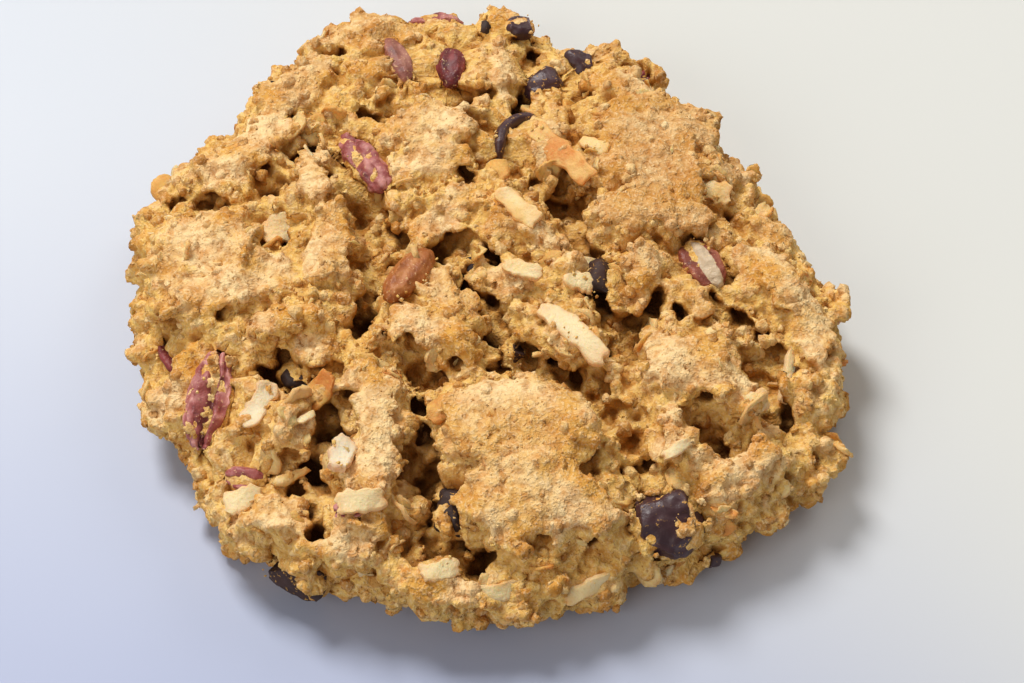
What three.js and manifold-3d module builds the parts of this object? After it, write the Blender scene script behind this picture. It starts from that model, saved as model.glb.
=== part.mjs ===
// A drop cookie with rolled oats, coconut flakes, pecan pieces and chocolate pieces.
// Millimetres, +Z up. It lies on its flat base, with the middle of its box above the origin.

import * as THREE from "three";
import { mergeVertices } from "three/addons/utils/BufferGeometryUtils.js";
import { ImprovedNoise } from "three/addons/math/ImprovedNoise.js";
import { MeshSurfaceSampler } from "three/addons/math/MeshSurfaceSampler.js";
import Module from "manifold-3d";

const wasm = await Module();
wasm.setup();

// Plain form: a flat base, a belly at the waist and a low crown with a squarish shoulder.
const crownHeight = 13.4;
const waistHeight = 4.8;
const baseShare = 0.88;
const crownPower = 2.7;
// Radius of the rim every 15 degrees, counter-clockwise from +X.
const rimRadii = [
  41.9, 37.2, 38.2, 38.2, 41.6, 41.4, 45.4, 45.4, 44.2, 41.6, 42.0, 42.6,
  41.0, 39.0, 39.2, 41.8, 42.4, 39.6, 40.2, 40.6, 41.8, 43.4, 45.2, 44.2,
];

// Farther out than any point of the cookie.
const far = 80;

// Spacing of the skin's rings and points, fine on the crown and side, coarse on the flat base.
const skinStep = 2.1;
const baseStep = 6;
const profilePoints = 40;
const bellyStep = 0.8;
const lowestRing = 0.3;
const profileDivisions = 800;

// Clumps of dough that cover the skin, largest first, and the fine grain between them.
const clumpCount = 330;
const largestClump = 4.6;
const smallestClump = 1.9;
const clumpRise = 0.34;
const grainSize = 3.1;
const grainHeight = 0.34;
const rimWobble = 0.85;
const wobbleSize = 7.5;
const quietHeight = 0.5;
// How far a thing set in the wall faces upwards, as a rise for each step outwards.
const wallTilt = 0.25;
// How far a thing on the crown turns from the skin's own direction to straight up.
const flakeLevelling = 0.5;
const pieceLevelling = 0.7;

// Clear space between the dough and each piece that sits in it. A pocket has fewer faces than
// its piece, so it is also larger by a share that keeps its flat faces clear.
const gap = 0.3;
const pocketShare = 1.07;

// Raised plates and lumps seen from above: place, length and width, turn of the length, rise.
const lumps = [
  { x: 20, y: 17.5, length: 19, width: 14, turn: 100, rise: 3.2 }, // right top plate
  { x: 19.5, y: 8.2, length: 17, width: 6.5, turn: -8, rise: 3.0 }, // its lower part
  { x: 25, y: 23, length: 7, width: 7, turn: 0, rise: 3.2 }, // bump at its edge
  { x: 17.5, y: 28, length: 13, width: 4.5, turn: -12, rise: 2.4 }, // back ridge
  { x: 14, y: 36, length: 7, width: 4.5, turn: -5, rise: 2.6 }, // back knob
  { x: 7.5, y: 17.5, length: 8, width: 5, turn: 80, rise: 2.4 }, // lump in the curved chocolate
  { x: 29, y: 15.5, length: 7, width: 4.5, turn: 70, rise: 2.4 }, // right shoulder's first lump
  { x: 34.4, y: 8, length: 6, width: 4.5, turn: -35, rise: 2.6 }, // its second
  { x: 33.4, y: 0, length: 11, width: 7, turn: -60, rise: 2.6 }, // its third
  { x: 17.4, y: -0.6, length: 8, width: 7.5, turn: 0, rise: 3.0 }, // pale edged block
  { x: 12.9, y: 1.8, length: 6, width: 3.4, turn: -5, rise: 2.6 }, // its nose
  { x: 6.4, y: 6, length: 11, width: 4, turn: -50, rise: 2.6 }, // centre strip
  { x: 3.4, y: -1, length: 7, width: 4, turn: -10, rise: 2.2 }, // centre step
  { x: 1.9, y: 6.4, length: 5, width: 5, turn: 0, rise: 2.0 }, // centre bump
  { x: 24.9, y: -4.6, length: 5, width: 5, turn: 0, rise: 3.2 }, // orange lump
  { x: 2.8, y: 32, length: 10, width: 3.8, turn: 88, rise: 2.4 }, // back column
  { x: 2.9, y: 41.4, length: 7, width: 4, turn: 0, rise: 2.4 }, // back edge
  { x: -14.1, y: 38, length: 12, width: 7, turn: 12, rise: 2.8 }, // back left hump
  { x: -22.6, y: 29.4, length: 11, width: 5, turn: 35, rise: 2.6 }, // back left arm
  { x: -13.1, y: 31, length: 10, width: 4, turn: -14, rise: 2.4 }, // its right half
  { x: -28.6, y: 19, length: 14, width: 8, turn: 55, rise: 2.2 }, // spongy back left face
  { x: -19, y: 13, length: 11, width: 7.5, turn: 95, rise: 3.4 }, // tongue
  { x: -17, y: 3, length: 12, width: 7, turn: 85, rise: 3.4 }, // tongue's tip
  { x: -31.6, y: 2.4, length: 17, width: 13, turn: 80, rise: 2.8 }, // left crust
  { x: -25.6, y: -1.6, length: 9, width: 8, turn: 20, rise: 2.2 }, // left crust's low part
  { x: -6, y: 21, length: 13, width: 8, turn: 10, rise: 2.6 }, // back plateau
  { x: -5.6, y: 15.4, length: 9, width: 4.5, turn: 0, rise: 2.0 }, // plateau's step
  { x: -1.6, y: 10, length: 6, width: 5, turn: 0, rise: 2.2 }, // plateau's foot
  { x: -6.6, y: -1.6, length: 9, width: 9, turn: 0, rise: 2.6 }, // tan pecan's lump
  { x: -2, y: -4.6, length: 7, width: 6, turn: -30, rise: 2.4 }, // its foot
  { x: -5.6, y: -9.6, length: 13, width: 6, turn: -12, rise: 3.0 }, // middle lump
  { x: -22, y: -8, length: 10, width: 6, turn: -5, rise: 2.8 }, // left lump
  { x: -20.6, y: -21, length: 8, width: 5.5, turn: 85, rise: 3.8 }, // knob
  { x: -16.6, y: -16.6, length: 10, width: 3.8, turn: 5, rise: 3.0 }, // bridge from the knob
  { x: -10.6, y: -22.6, length: 17, width: 7, turn: 86, rise: 3.9 }, // tall left lump
  { x: -12, y: -29.6, length: 8, width: 7, turn: 80, rise: 3.0 }, // its foot
  { x: 4.4, y: -21.6, length: 21, width: 12, turn: -3, rise: 3.6 }, // lower middle plate
  { x: 6.4, y: -30.6, length: 19, width: 10, turn: -5, rise: 3.0 }, // its lower half
  { x: 22.4, y: -13, length: 12, width: 8, turn: 5, rise: 3.2 }, // right lump
  { x: 28.4, y: -14.6, length: 6, width: 7, turn: 0, rise: 3.0 }, // its shoulder
  { x: 20.4, y: -22.6, length: 7, width: 6, turn: 70, rise: 3.0 }, // small right lump
  { x: 28.4, y: -25.6, length: 11, width: 6, turn: 20, rise: 2.6 }, // lower right lump
  { x: 38, y: -6.6, length: 12, width: 4.4, turn: 100, rise: 2.2 }, // right edge
  { x: -33.6, y: -12.6, length: 12, width: 5, turn: 60, rise: 1.8 }, // left edge
  { x: -22.6, y: -31, length: 7, width: 5, turn: -10, rise: 2.4 }, // front left lump
  { x: -14.6, y: -34, length: 11, width: 5, turn: 5, rise: 2.4 }, // front left edge
  { x: -4, y: -39, length: 9, width: 4, turn: 0, rise: 2.0 }, // front edge
];
// A lump's side falls from this far inside its outline to this far outside.
const lumpInside = 1.1;
const lumpOutside = 0.9;
// How unevenly the outlines of lumps and cracks wander.
const raggedEdge = 0.4;
// The relief at a place is the mean over a small ring, so that its faces don't saw at its edges.
const ringSize = 0.9;
const ringPoints = 6;

// Cracks and hollows seen from above: the line of the floor, its width, and its depth below
// the plain form.
const crevices = [
  { line: [[-7, -19], [-6.4, -22.6], [-5.6, -26.6], [-4.8, -30.6], [-2, -36]], width: 4.4, depth: 4.4 },
  { line: [[-17, 17.6], [-14.8, 11.6], [-11.8, 6.4], [-12, 1.4], [-13.2, -7]], width: 4.4, depth: 3.6 },
  { line: [[-11.6, 1.8], [-7.6, 2.2], [-4.2, 3.8], [0.9, 2.4]], width: 3.8, depth: 3.4 },
  { line: [[-1.4, 3], [-1.2, -0.6], [0.4, -4], [1.8, -7]], width: 3.4, depth: 3.2 },
  { line: [[-24, -13], [-21.2, -13], [-20.2, -15], [-17, -13.2]], width: 4.4, depth: 4.0 },
  { line: [[-7.8, -11.4], [-6, -13.6], [-3.6, -15.2]], width: 3.6, depth: 3.0 },
  { line: [[-16.8, -19], [-17.2, -22.6], [-18, -25.6]], width: 3.6, depth: 4.0 },
  { line: [[-20.6, -26.6], [-18.4, -29.6], [-17.8, -32.6]], width: 3.4, depth: 3.0 },
  { line: [[1.8, -8.6], [3, -11.6], [7, -13.2], [10.4, -14]], width: 4.8, depth: 3.6 },
  { line: [[10.4, -14], [12.8, -16.6], [17.4, -22.6]], width: 4.4, depth: 3.4 },
  { line: [[9.4, 14.8], [10.4, 11], [11, 6.4], [12.2, 3.2]], width: 3.8, depth: 3.8 },
  { line: [[14.6, 0.8], [15.2, -2], [14, -4.2], [16.8, -5.6]], width: 3.8, depth: 3.6 },
  { line: [[16.8, -5.6], [20, -5.2], [22.6, -5]], width: 3.6, depth: 3.2 },
  { line: [[16.6, -6], [16.2, -10], [16.6, -13.6]], width: 3.8, depth: 3.4 },
  { line: [[26.8, -3.6], [29, -5.6], [31.4, -7.6]], width: 3.4, depth: 2.8 },
  { line: [[25, -20.4], [27, -21.6]], width: 5.2, depth: 3.6 },
  { line: [[18, -22.6], [18, -27], [20.4, -27]], width: 3.4, depth: 2.6 },
  { line: [[4, 25], [4.8, 28.4], [5.8, 32.6], [6.2, 36.4]], width: 3.4, depth: 3.0 },
  { line: [[-14.6, 24], [-11, 26.8], [-5.6, 28], [0.4, 27.4]], width: 3.6, depth: 2.2 },
  { line: [[-21.2, 19.6], [-21, 21.2]], width: 3.6, depth: 3.4 },
  { line: [[-23, 16.4], [-26, 13], [-30.6, 12], [-35.6, 12.4]], width: 3.4, depth: 1.6 },
  { line: [[-25.4, 5.8], [-23.2, 6]], width: 3.8, depth: 3.4 },
  { line: [[33.4, -9.6], [32, -14.6], [33, -18]], width: 3.4, depth: 2.6 },
];
// A crack's floor and its upper edge, as shares of half its width.
const creviceFloor = 0.4;
const creviceEdge = 1.1;

// Chocolate pieces: place seen from above, size, turn and lean, and how far each is sunk.
// One in the wall is placed by its angle round the rim and its height. A bend is the radius of
// a piece that curls.
const chocolatePieces = [
  { x: 7.2, y: 31.4, size: [6.6, 5.4, 4.6], turn: 20, lean: 10, sunk: 0.9 },
  { x: 11.4, y: 34.8, size: [6.2, 4.6, 4.0], turn: 150, lean: -12, sunk: 0.4 },
  { x: 3.0, y: 21.8, size: [10.6, 2.0, 5.0], turn: 55, lean: 0, sunk: 0.9, bend: 5.5 },
  { x: 4.6, y: 40.6, size: [5.4, 4.4, 3.6], turn: 10, lean: 0, sunk: 0.5 },
  { x: 0.0, y: 40.4, size: [3.2, 2.8, 2.6], turn: 70, lean: 0, sunk: 0.3 },
  { x: 13.8, y: -0.4, size: [6.4, 4.8, 4.4], turn: 80, lean: 0, sunk: 0.3 },
  { x: -0.4, y: 2.4, size: [5.2, 4.0, 4.0], turn: 110, lean: 0, sunk: 0.4 },
  { x: 3.6, y: -9.4, size: [4.4, 3.2, 3.2], turn: 30, lean: 0, sunk: 0.4 },
  { x: 20.4, y: -31.4, size: [10.4, 8.8, 7.0], turn: 10, lean: 24, sunk: 1.3 },
  { angle: -51.5, z: 3.4, size: [3.6, 2.8, 2.8], turn: 0, lean: 0, sunk: 0.6 },
  { angle: -119.5, z: 5.2, size: [9.4, 6.4, 5.0], turn: -30, lean: 0, sunk: 1.8 },
  { x: -3.4, y: -29.6, size: [7.6, 5.2, 4.6], turn: 75, lean: 0, sunk: 1.4 },
  { x: -20.4, y: -12.4, size: [5.6, 4.2, 3.8], turn: 150, lean: 0, sunk: 0.5 },
  { x: -20.6, y: 35.6, size: [3.4, 2.6, 2.6], turn: 40, lean: 0, sunk: 0.4 },
  { angle: 128, z: 6.8, size: [7.4, 6.2, 5.0], turn: 35, lean: 0, sunk: 1.2 },
];
const chocolateSquareness = 3.2;
const dentDepth = 0.14;
const dentSize = 2.5;
// A piece shorter than this has coarser faces.
const smallPiece = 6.5;

// Pecan pieces: a ridged back with a groove along it, or a sliver, half sunk in the dough.
const pecanSquareness = 2;
const pecanPieces = [
  { x: -14.0, y: 17.0, size: [12.4, 5.4, 4.4], turn: -58, lean: 14, sunk: 0.4 },
  { x: -3.9, y: 32.6, size: [7.4, 4.6, 3.8], turn: 90, lean: 0, sunk: 0.2 },
  { x: -8.2, y: -1.4, size: [10.0, 4.8, 4.2], turn: 58, lean: 0, sunk: 0.5 },
  { x: -30.6, y: -15.6, size: [14.0, 6.4, 4.6], turn: 82, lean: 0, sunk: 0.5 },
  { x: -36.0, y: -8.4, size: [5.6, 2.6, 2.6], turn: -62, lean: 0, sunk: 0.5 },
  { x: -26.0, y: -25.4, size: [6.0, 4.0, 3.6], turn: -12, lean: 30, sunk: 0.4 },
  { x: 25.6, y: 2.4, size: [8.8, 6.2, 4.8], turn: -62, lean: 8, sunk: 0.5 },
  { x: -10.4, y: 33.6, size: [8.6, 4.2, 3.6], turn: 112, lean: 14, sunk: 0.1 },
  { x: 11.2, y: -22.4, size: [3.8, 2.8, 2.6], turn: 60, lean: 0, sunk: 0.2 },
  { x: -14.0, y: -31.6, size: [5.0, 3.8, 3.0], turn: 4, lean: 30, sunk: 0.5 },
  { angle: -3, z: 8.8, size: [4.8, 3.8, 8.4], turn: 82, lean: 0, sunk: 1.2 },
  { x: 20.2, y: 33.6, size: [3.8, 2.8, 2.8], turn: 40, lean: 0, sunk: 0.1 },
  { angle: 98, z: 7.4, size: [8.6, 5.0, 4.0], turn: 20, lean: 0, sunk: 0.8 },
];
const grooveDepth = 0.26;
const grooveWidth = 0.32;
const ridgeDepth = 0.07;
const ridgesRound = 7;
const ridgeTwist = 1.2;

// Coconut strips and oat flakes that can be told apart, fused to the dough.
const placedFlakes = [
  { x: 9.6, y: 16.2, size: [7.8, 3.2, 0.8], turn: -50, lean: 24 },
  { x: 13.2, y: 17.6, size: [4.2, 1.8, 0.8], turn: -38, lean: 10 },
  { x: 4.2, y: 7.2, size: [6.4, 2.6, 0.8], turn: -48, lean: 18 },
  { x: 11.0, y: -1.6, size: [3.6, 2.2, 0.9], turn: -16, lean: 12 },
  { x: 4.5, y: -1.4, size: [4.8, 2.0, 0.9], turn: -14, lean: 14 },
  { x: 10.2, y: -9.4, size: [10.4, 3.0, 1.0], turn: -46, lean: 16 },
  { x: 12.0, y: 2.4, size: [5.4, 2.2, 0.9], turn: 10, lean: 16 },
  { x: 35.0, y: -11.4, size: [8.6, 1.5, 0.9], turn: 78, lean: 30 },
  { x: -24.8, y: -17.6, size: [5.4, 2.8, 0.8], turn: 62, lean: 20 },
  { x: -15.0, y: -25.6, size: [4.8, 3.2, 1.2], turn: 70, lean: 14 },
  { x: -23.8, y: 7.6, size: [4.4, 3.8, 1.0], turn: 20, lean: 8 },
  { x: 21.4, y: -25.2, size: [3.6, 1.4, 0.8], turn: 34, lean: 20 },
  { x: 30.4, y: -18.0, size: [3.2, 2.6, 1.0], turn: 20, lean: 26 },
  { x: -4.4, y: -37.6, size: [4.2, 2.4, 0.9], turn: 15, lean: 26 },
  { x: 27.2, y: 12.6, size: [4.4, 2.8, 0.8], turn: -20, lean: 14 },
  { angle: -93.5, z: 3.0, size: [4.0, 2.6, 0.9], turn: 80, lean: 20 },
  { angle: -110, z: 3.4, size: [3.8, 1.8, 0.9], turn: 80, lean: 10 },
  { angle: -30, z: 6.0, size: [7.0, 5.0, 1.0], turn: 50, lean: 38 },
];

// Steps along a flake, and how much it narrows to its ends, sways sideways and bows upwards.
const flakeSteps = 4;
const flakeNarrowing = 0.35;
const flakeSway = 0.22;
const flakeBow = 0.06;

// Oats and knobs of dough scattered over the rest, by a seeded draw.
const scatterSeed = 41;
const oatCount = 14;
const oatSize = [6.4, 4.8, 1.0];
const oatSides = 8;
const oatCup = 0.7;
const oatScales = [0.75, 1.15];
const oatLeans = [15, 60];
const knobCount = 6;
const knobSizes = [3.4, 1.7];
const knobUnevenness = 0.4;
const bitSunk = 0.2;
const lowestBit = 2.2;
const lowestFacing = -0.2;

// A seeded draw from 0 to 1, the same on every run.
function seededDraw(seed) {
  let state = seed;
  return () => {
    state = (state + 0x6d2b79f5) | 0;
    let mixed = Math.imul(state ^ (state >>> 15), 1 | state);
    mixed = (mixed + Math.imul(mixed ^ (mixed >>> 7), 61 | mixed)) ^ mixed;
    return ((mixed ^ (mixed >>> 14)) >>> 0) / 4294967296;
  };
}

const draw = seededDraw(scatterSeed);
const noise = new ImprovedNoise();
const radians = THREE.MathUtils.degToRad;
const up = new THREE.Vector3(0, 0, 1);

// Radius of the rim at an angle in degrees, smooth through the listed radii.
function rimRadius(angle) {
  const count = rimRadii.length;
  const place = (THREE.MathUtils.euclideanModulo(angle, 360) / 360) * count;
  const first = Math.floor(place);
  const at = (step) => rimRadii[(first + step + count) % count];
  const t = place - first;
  const slopeIn = (at(1) - at(-1)) / 2;
  const slopeOut = (at(2) - at(0)) / 2;
  const rise = at(1) - at(0);
  return at(0) + slopeIn * t + (3 * rise - 2 * slopeIn - slopeOut) * t * t
    + (slopeIn + slopeOut - 2 * rise) * t * t * t;
}

// Share of the rim radius that the plain form has at a height, below and above its waist.
function shareAtHeight(height) {
  if (height < waistHeight) {
    const drop = 1 - height / waistHeight;
    return baseShare + (1 - baseShare) * Math.sqrt(1 - drop * drop);
  }
  const rise = Math.min((height - waistHeight) / (crownHeight - waistHeight), 1);
  return Math.pow(1 - Math.pow(rise, crownPower), 1 / crownPower);
}

// Shares and heights from the edge of the base round to the crown, evenly spaced along the skin.
function profileRings() {
  const meanRadius = rimRadii.reduce((sum, radius) => sum + radius, 0) / rimRadii.length;
  const points = [];
  for (let i = 0; i <= profilePoints; i++) {
    const sweep = (i / profilePoints) * Math.PI / 2;
    const rise = Math.pow(Math.sin(sweep), 2 / crownPower);
    const share = Math.pow(Math.max(Math.cos(sweep), 0), 2 / crownPower);
    points.push(new THREE.Vector2(share * meanRadius,
      waistHeight + rise * (crownHeight - waistHeight)));
  }
  for (let height = waistHeight - bellyStep; height > lowestRing; height -= bellyStep) {
    points.unshift(new THREE.Vector2(shareAtHeight(height) * meanRadius, height));
  }
  points.unshift(new THREE.Vector2(baseShare * meanRadius, 0));
  const curve = new THREE.SplineCurve(points);
  curve.arcLengthDivisions = profileDivisions;
  const rings = Math.round(curve.getLength() / skinStep);
  return curve.getSpacedPoints(rings).map((p) => ({ share: p.x / meanRadius, height: p.y }));
}

// One ring of points of the plain form, spaced about a step apart.
function plainRing(share, height, step) {
  if (share < 0.01) return [new THREE.Vector3(0, 0, height)];
  const count = Math.max(5, Math.round((2 * Math.PI * share * rimRadii[0]) / step));
  return Array.from({ length: count }, (_, i) => {
    const angle = (i / count) * 360;
    const radius = share * rimRadius(angle);
    const turn = radians(angle);
    return new THREE.Vector3(radius * Math.cos(turn), radius * Math.sin(turn), height);
  });
}

// Triangles between neighbouring rings, which may hold different numbers of points.
function skinBetween(rings) {
  const positions = rings.flat().flatMap((p) => [p.x, p.y, p.z]);
  const index = [];
  let start = 0;
  for (let k = 0; k + 1 < rings.length; k++) {
    const inner = rings[k].length;
    const outer = rings[k + 1].length;
    const next = start + inner;
    const innerSteps = inner === 1 ? 0 : inner;
    const outerSteps = outer === 1 ? 0 : outer;
    let i = 0;
    let j = 0;
    while (i < innerSteps || j < outerSteps) {
      const innerTurn = innerSteps ? (i + 1) / innerSteps : Infinity;
      const outerTurn = outerSteps ? (j + 1) / outerSteps : Infinity;
      const a = start + (i % inner);
      const b = next + (j % outer);
      if (i < innerSteps && (innerTurn <= outerTurn || j >= outerSteps)) {
        i++;
        index.push(a, start + (i % inner), b);
      } else {
        j++;
        index.push(a, next + (j % outer), b);
      }
    }
    start = next;
  }
  const geometry = new THREE.BufferGeometry();
  geometry.setAttribute("position", new THREE.Float32BufferAttribute(positions, 3));
  geometry.setIndex(index);
  geometry.computeVertexNormals();
  return geometry;
}

// The plain form as one closed skin.
function plainSkin() {
  const rings = [[new THREE.Vector3()]];
  const baseRings = Math.round((baseShare * rimRadii[0]) / baseStep);
  for (let k = 1; k < baseRings; k++) {
    rings.push(plainRing((baseShare * k) / baseRings, 0, baseStep));
  }
  const sides = profileRings();
  sides.forEach(({ share, height }, k) => {
    rings.push(plainRing(share, height, k === 0 ? baseStep / 2 : skinStep));
  });
  return skinBetween(rings);
}

// Distance from a point to a line of points, seen from above.
function distanceToLine(x, y, line) {
  let nearest = Infinity;
  for (let k = 0; k + 1 < line.length; k++) {
    const [ax, ay] = line[k];
    const [bx, by] = line[k + 1];
    const along = ((x - ax) * (bx - ax) + (y - ay) * (by - ay)) / ((bx - ax) ** 2 + (by - ay) ** 2);
    const t = THREE.MathUtils.clamp(along, 0, 1);
    nearest = Math.min(nearest, Math.hypot(x - ax - t * (bx - ax), y - ay - t * (by - ay)));
  }
  return nearest;
}

// Height that the plates and lumps add at a place.
function lumpRise(x, y, ragged) {
  let rise = 0;
  for (const lump of lumps) {
    const turn = radians(lump.turn);
    const along = (x - lump.x) * Math.cos(turn) + (y - lump.y) * Math.sin(turn);
    const across = (y - lump.y) * Math.cos(turn) - (x - lump.x) * Math.sin(turn);
    const reach = Math.max(Math.hypot(along / (lump.length / 2), across / (lump.width / 2)), 0.01);
    const outside = Math.hypot(along, across) * (1 - 1 / reach) + ragged;
    const share = 1 - THREE.MathUtils.smoothstep(outside, -lumpInside, lumpOutside);
    rise = Math.max(rise, lump.rise * share);
  }
  return rise;
}

// Depth that the cracks and hollows take away at a place.
function creviceDepth(x, y, ragged) {
  let depth = 0;
  for (const crevice of crevices) {
    const reach = distanceToLine(x, y, crevice.line) / (crevice.width / 2) + ragged;
    const share = 1 - THREE.MathUtils.smoothstep(reach, creviceFloor, creviceEdge);
    depth = Math.max(depth, crevice.depth * share);
  }
  return depth;
}

// Lumps less cracks at a place, evened out over a small ring round it.
function reliefAt(x, y, ragged) {
  let sum = lumpRise(x, y, ragged) - creviceDepth(x, y, ragged);
  for (let i = 0; i < ringPoints; i++) {
    const turn = (i / ringPoints) * 2 * Math.PI;
    const nearX = x + ringSize * Math.cos(turn);
    const nearY = y + ringSize * Math.sin(turn);
    sum += lumpRise(nearX, nearY, ragged) - creviceDepth(nearX, nearY, ragged);
  }
  return sum / (ringPoints + 1);
}

// Clumps round seeded points of the skin, each a shallow dome, with creases where they meet.
function scatterClumps(sampler) {
  return Array.from({ length: clumpCount }, (_, i) => {
    const centre = new THREE.Vector3();
    sampler.sample(centre);
    const share = i / clumpCount;
    return { centre, radius: THREE.MathUtils.lerp(largestClump, smallestClump, Math.sqrt(share)) };
  });
}

function clumpHeight(point, clumps) {
  let height = 0;
  for (const { centre, radius } of clumps) {
    const reach = point.distanceTo(centre) / radius;
    if (reach < 1) height = Math.max(height, radius * clumpRise * (1 - reach * reach));
  }
  return height;
}

// The dough's skin: the plain form with its lumps, cracks, clumps and grain.
function crackedSkin() {
  const skin = plainSkin();
  const sampler = new MeshSurfaceSampler(new THREE.Mesh(skin)).setRandomGenerator(draw).build();
  const clumps = scatterClumps(sampler);
  const position = skin.attributes.position;
  const normals = skin.attributes.normal;
  for (let i = 0; i < position.count; i++) {
    const point = new THREE.Vector3().fromBufferAttribute(position, i);
    if (point.z < quietHeight) continue;
    const outward = new THREE.Vector3().fromBufferAttribute(normals, i);
    const { x, y, z } = point;
    const ragged = raggedEdge * noise.noise(x / grainSize, y / grainSize, 5.5);
    const wobble = rimWobble * noise.noise(x / wobbleSize, y / wobbleSize, z / wobbleSize + 9.5);
    const grain = grainHeight * noise.noise(x / grainSize, y / grainSize, z / grainSize);
    const fade = THREE.MathUtils.smoothstep(z, 0, waistHeight);
    const lift = reliefAt(x, y, ragged) * fade + wobble + grain + clumpHeight(point, clumps) - clumpRise;
    point.addScaledVector(outward, lift);
    position.setXYZ(i, point.x, point.y, Math.max(point.z, quietHeight));
  }
  skin.computeVertexNormals();
  return skin;
}

// A point at an angle round the cookie, a distance from its middle line and a height.
function aroundRim(angle, distance, height) {
  return new THREE.Vector3(Math.cos(radians(angle)) * distance, Math.sin(radians(angle)) * distance, height);
}

// Where a ray meets the skin: down onto a place of the top, or inwards at an angle and height.
function findPlace(mesh, row) {
  const ray = row.angle === undefined
    ? { from: new THREE.Vector3(row.x, row.y, far), to: new THREE.Vector3(0, 0, -1) }
    : { from: aroundRim(row.angle, far, row.z), to: aroundRim(row.angle, -1, 0) };
  return new THREE.Raycaster(ray.from, ray.to).intersectObject(mesh)[0];
}

// Matrix that lays a shape on the skin: +Z outwards, turned about it, leaned and sunk.
function restingMatrix(point, outward, { turn, lean = 0, sunk = 0 }) {
  const level = new THREE.Quaternion().setFromUnitVectors(up, outward);
  const spin = new THREE.Quaternion().setFromAxisAngle(up, radians(turn));
  const tip = new THREE.Quaternion().setFromAxisAngle(new THREE.Vector3(1, 0, 0), radians(lean));
  const place = point.clone().addScaledVector(outward, -sunk);
  const one = new THREE.Vector3(1, 1, 1);
  return new THREE.Matrix4().compose(place, level.multiply(spin).multiply(tip), one);
}

// A closed geometry as a solid.
function solidOf(geometry) {
  const bare = geometry.clone();
  bare.deleteAttribute("normal");
  bare.deleteAttribute("uv");
  const merged = mergeVertices(bare, 1e-4);
  return new wasm.Manifold(new wasm.Mesh({
    numProp: 3,
    vertProperties: new Float32Array(merged.attributes.position.array),
    triVerts: new Uint32Array(merged.index.array),
  }));
}

function geometryOf(solid) {
  const mesh = solid.getMesh();
  const geometry = new THREE.BufferGeometry();
  geometry.setAttribute("position", new THREE.BufferAttribute(new Float32Array(mesh.vertProperties), 3));
  geometry.setIndex(new THREE.BufferAttribute(new Uint32Array(mesh.triVerts), 1));
  geometry.computeVertexNormals();
  return geometry;
}

// The largest body of a solid, without the loose scraps that a cut leaves.
function largestBody(solid) {
  return solid.decompose().reduce((best, body) => (body.volume() > best.volume() ? body : best));
}

// Moves each point of a geometry by a function of the point.
function reshape(geometry, move) {
  const position = geometry.attributes.position;
  const point = new THREE.Vector3();
  for (let i = 0; i < position.count; i++) {
    move(point.fromBufferAttribute(position, i));
    position.setXYZ(i, point.x, point.y, point.z);
  }
  return geometry;
}

function detailFor(size) {
  return size[0] < smallPiece ? 1 : 2;
}

// A ball swelled towards a block: the higher the power, the squarer its sides.
function squaredBall(detail, power, half) {
  return reshape(new THREE.IcosahedronGeometry(1, detail), (p) => {
    const sum = Math.abs(p.x) ** power + Math.abs(p.y) ** power + Math.abs(p.z) ** power;
    p.multiplyScalar(Math.pow(sum, -1 / power));
    p.set(p.x * half[0], p.y * half[1], p.z * half[2]);
  });
}

// The pocket that a piece sits in, with more faces where the piece curls.
function pocketShape({ size, bend }, power) {
  const half = size.map((side) => (side / 2) * pocketShare + gap);
  return bend ? curled(squaredBall(2, power, half), bend) : squaredBall(1, power, half);
}

// A chocolate piece: a block with soft corners and uneven faces.
function chocolateShape({ size, bend }, phase) {
  const block = squaredBall(detailFor(size), chocolateSquareness, size.map((side) => side / 2));
  reshape(block, (p) => {
    const unevenness = noise.noise(p.x / dentSize + phase, p.y / dentSize, p.z / dentSize);
    p.multiplyScalar(1 - dentDepth * (0.5 + 0.5 * unevenness));
  });
  return bend ? curled(block, bend) : block;
}

// Curls a shape round a radius, its ends turning towards -Y.
function curled(geometry, radius) {
  return reshape(geometry, (p) => {
    const turn = p.x / radius;
    p.set((radius + p.y) * Math.sin(turn), (radius + p.y) * Math.cos(turn) - radius, p.z);
  });
}

// A pecan piece: an oval with a groove along its back and ridges round it.
function pecanShape({ size }, phase) {
  const half = size.map((side) => side / 2);
  return reshape(new THREE.IcosahedronGeometry(1, detailFor(size)), (p) => {
    const round = Math.atan2(p.z, p.y);
    const groove = grooveDepth * Math.exp(-Math.pow((round - Math.PI / 2) / grooveWidth, 2));
    const ridge = ridgeDepth * (1 + Math.cos(round * ridgesRound + p.x * ridgeTwist + phase));
    const across = 1 - (groove + ridge) * (1 - p.x * p.x);
    p.set(p.x * half[0], p.y * across * half[1], p.z * across * half[2]);
  });
}

// A coconut strip or flake: a thin bar that curls along its length and narrows to its ends.
function flakeShape([length, width, thickness], phase) {
  return reshape(new THREE.BoxGeometry(length, width, thickness, flakeSteps, 1, 1), (p) => {
    const along = p.x / (length / 2);
    p.y *= 1 - flakeNarrowing * along * along;
    p.y += flakeSway * width * Math.sin(along * 2 + phase);
    p.z += flakeBow * length * (0.5 - along * along);
  });
}

// A rolled oat: a thin cupped oval.
function oatShape([length, width, thickness]) {
  const disc = new THREE.CylinderGeometry(0.5, 0.5, thickness, oatSides).rotateX(Math.PI / 2);
  return reshape(disc, (p) => {
    const cup = oatCup * (p.x * p.x + p.y * p.y);
    p.set(p.x * length, p.y * width, p.z + cup);
  });
}

function knobShape(size, phase) {
  return reshape(new THREE.IcosahedronGeometry(size / 2, 0), (p) => {
    p.multiplyScalar(1 + knobUnevenness * noise.noise(p.x + phase, p.y, p.z));
  });
}

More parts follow.
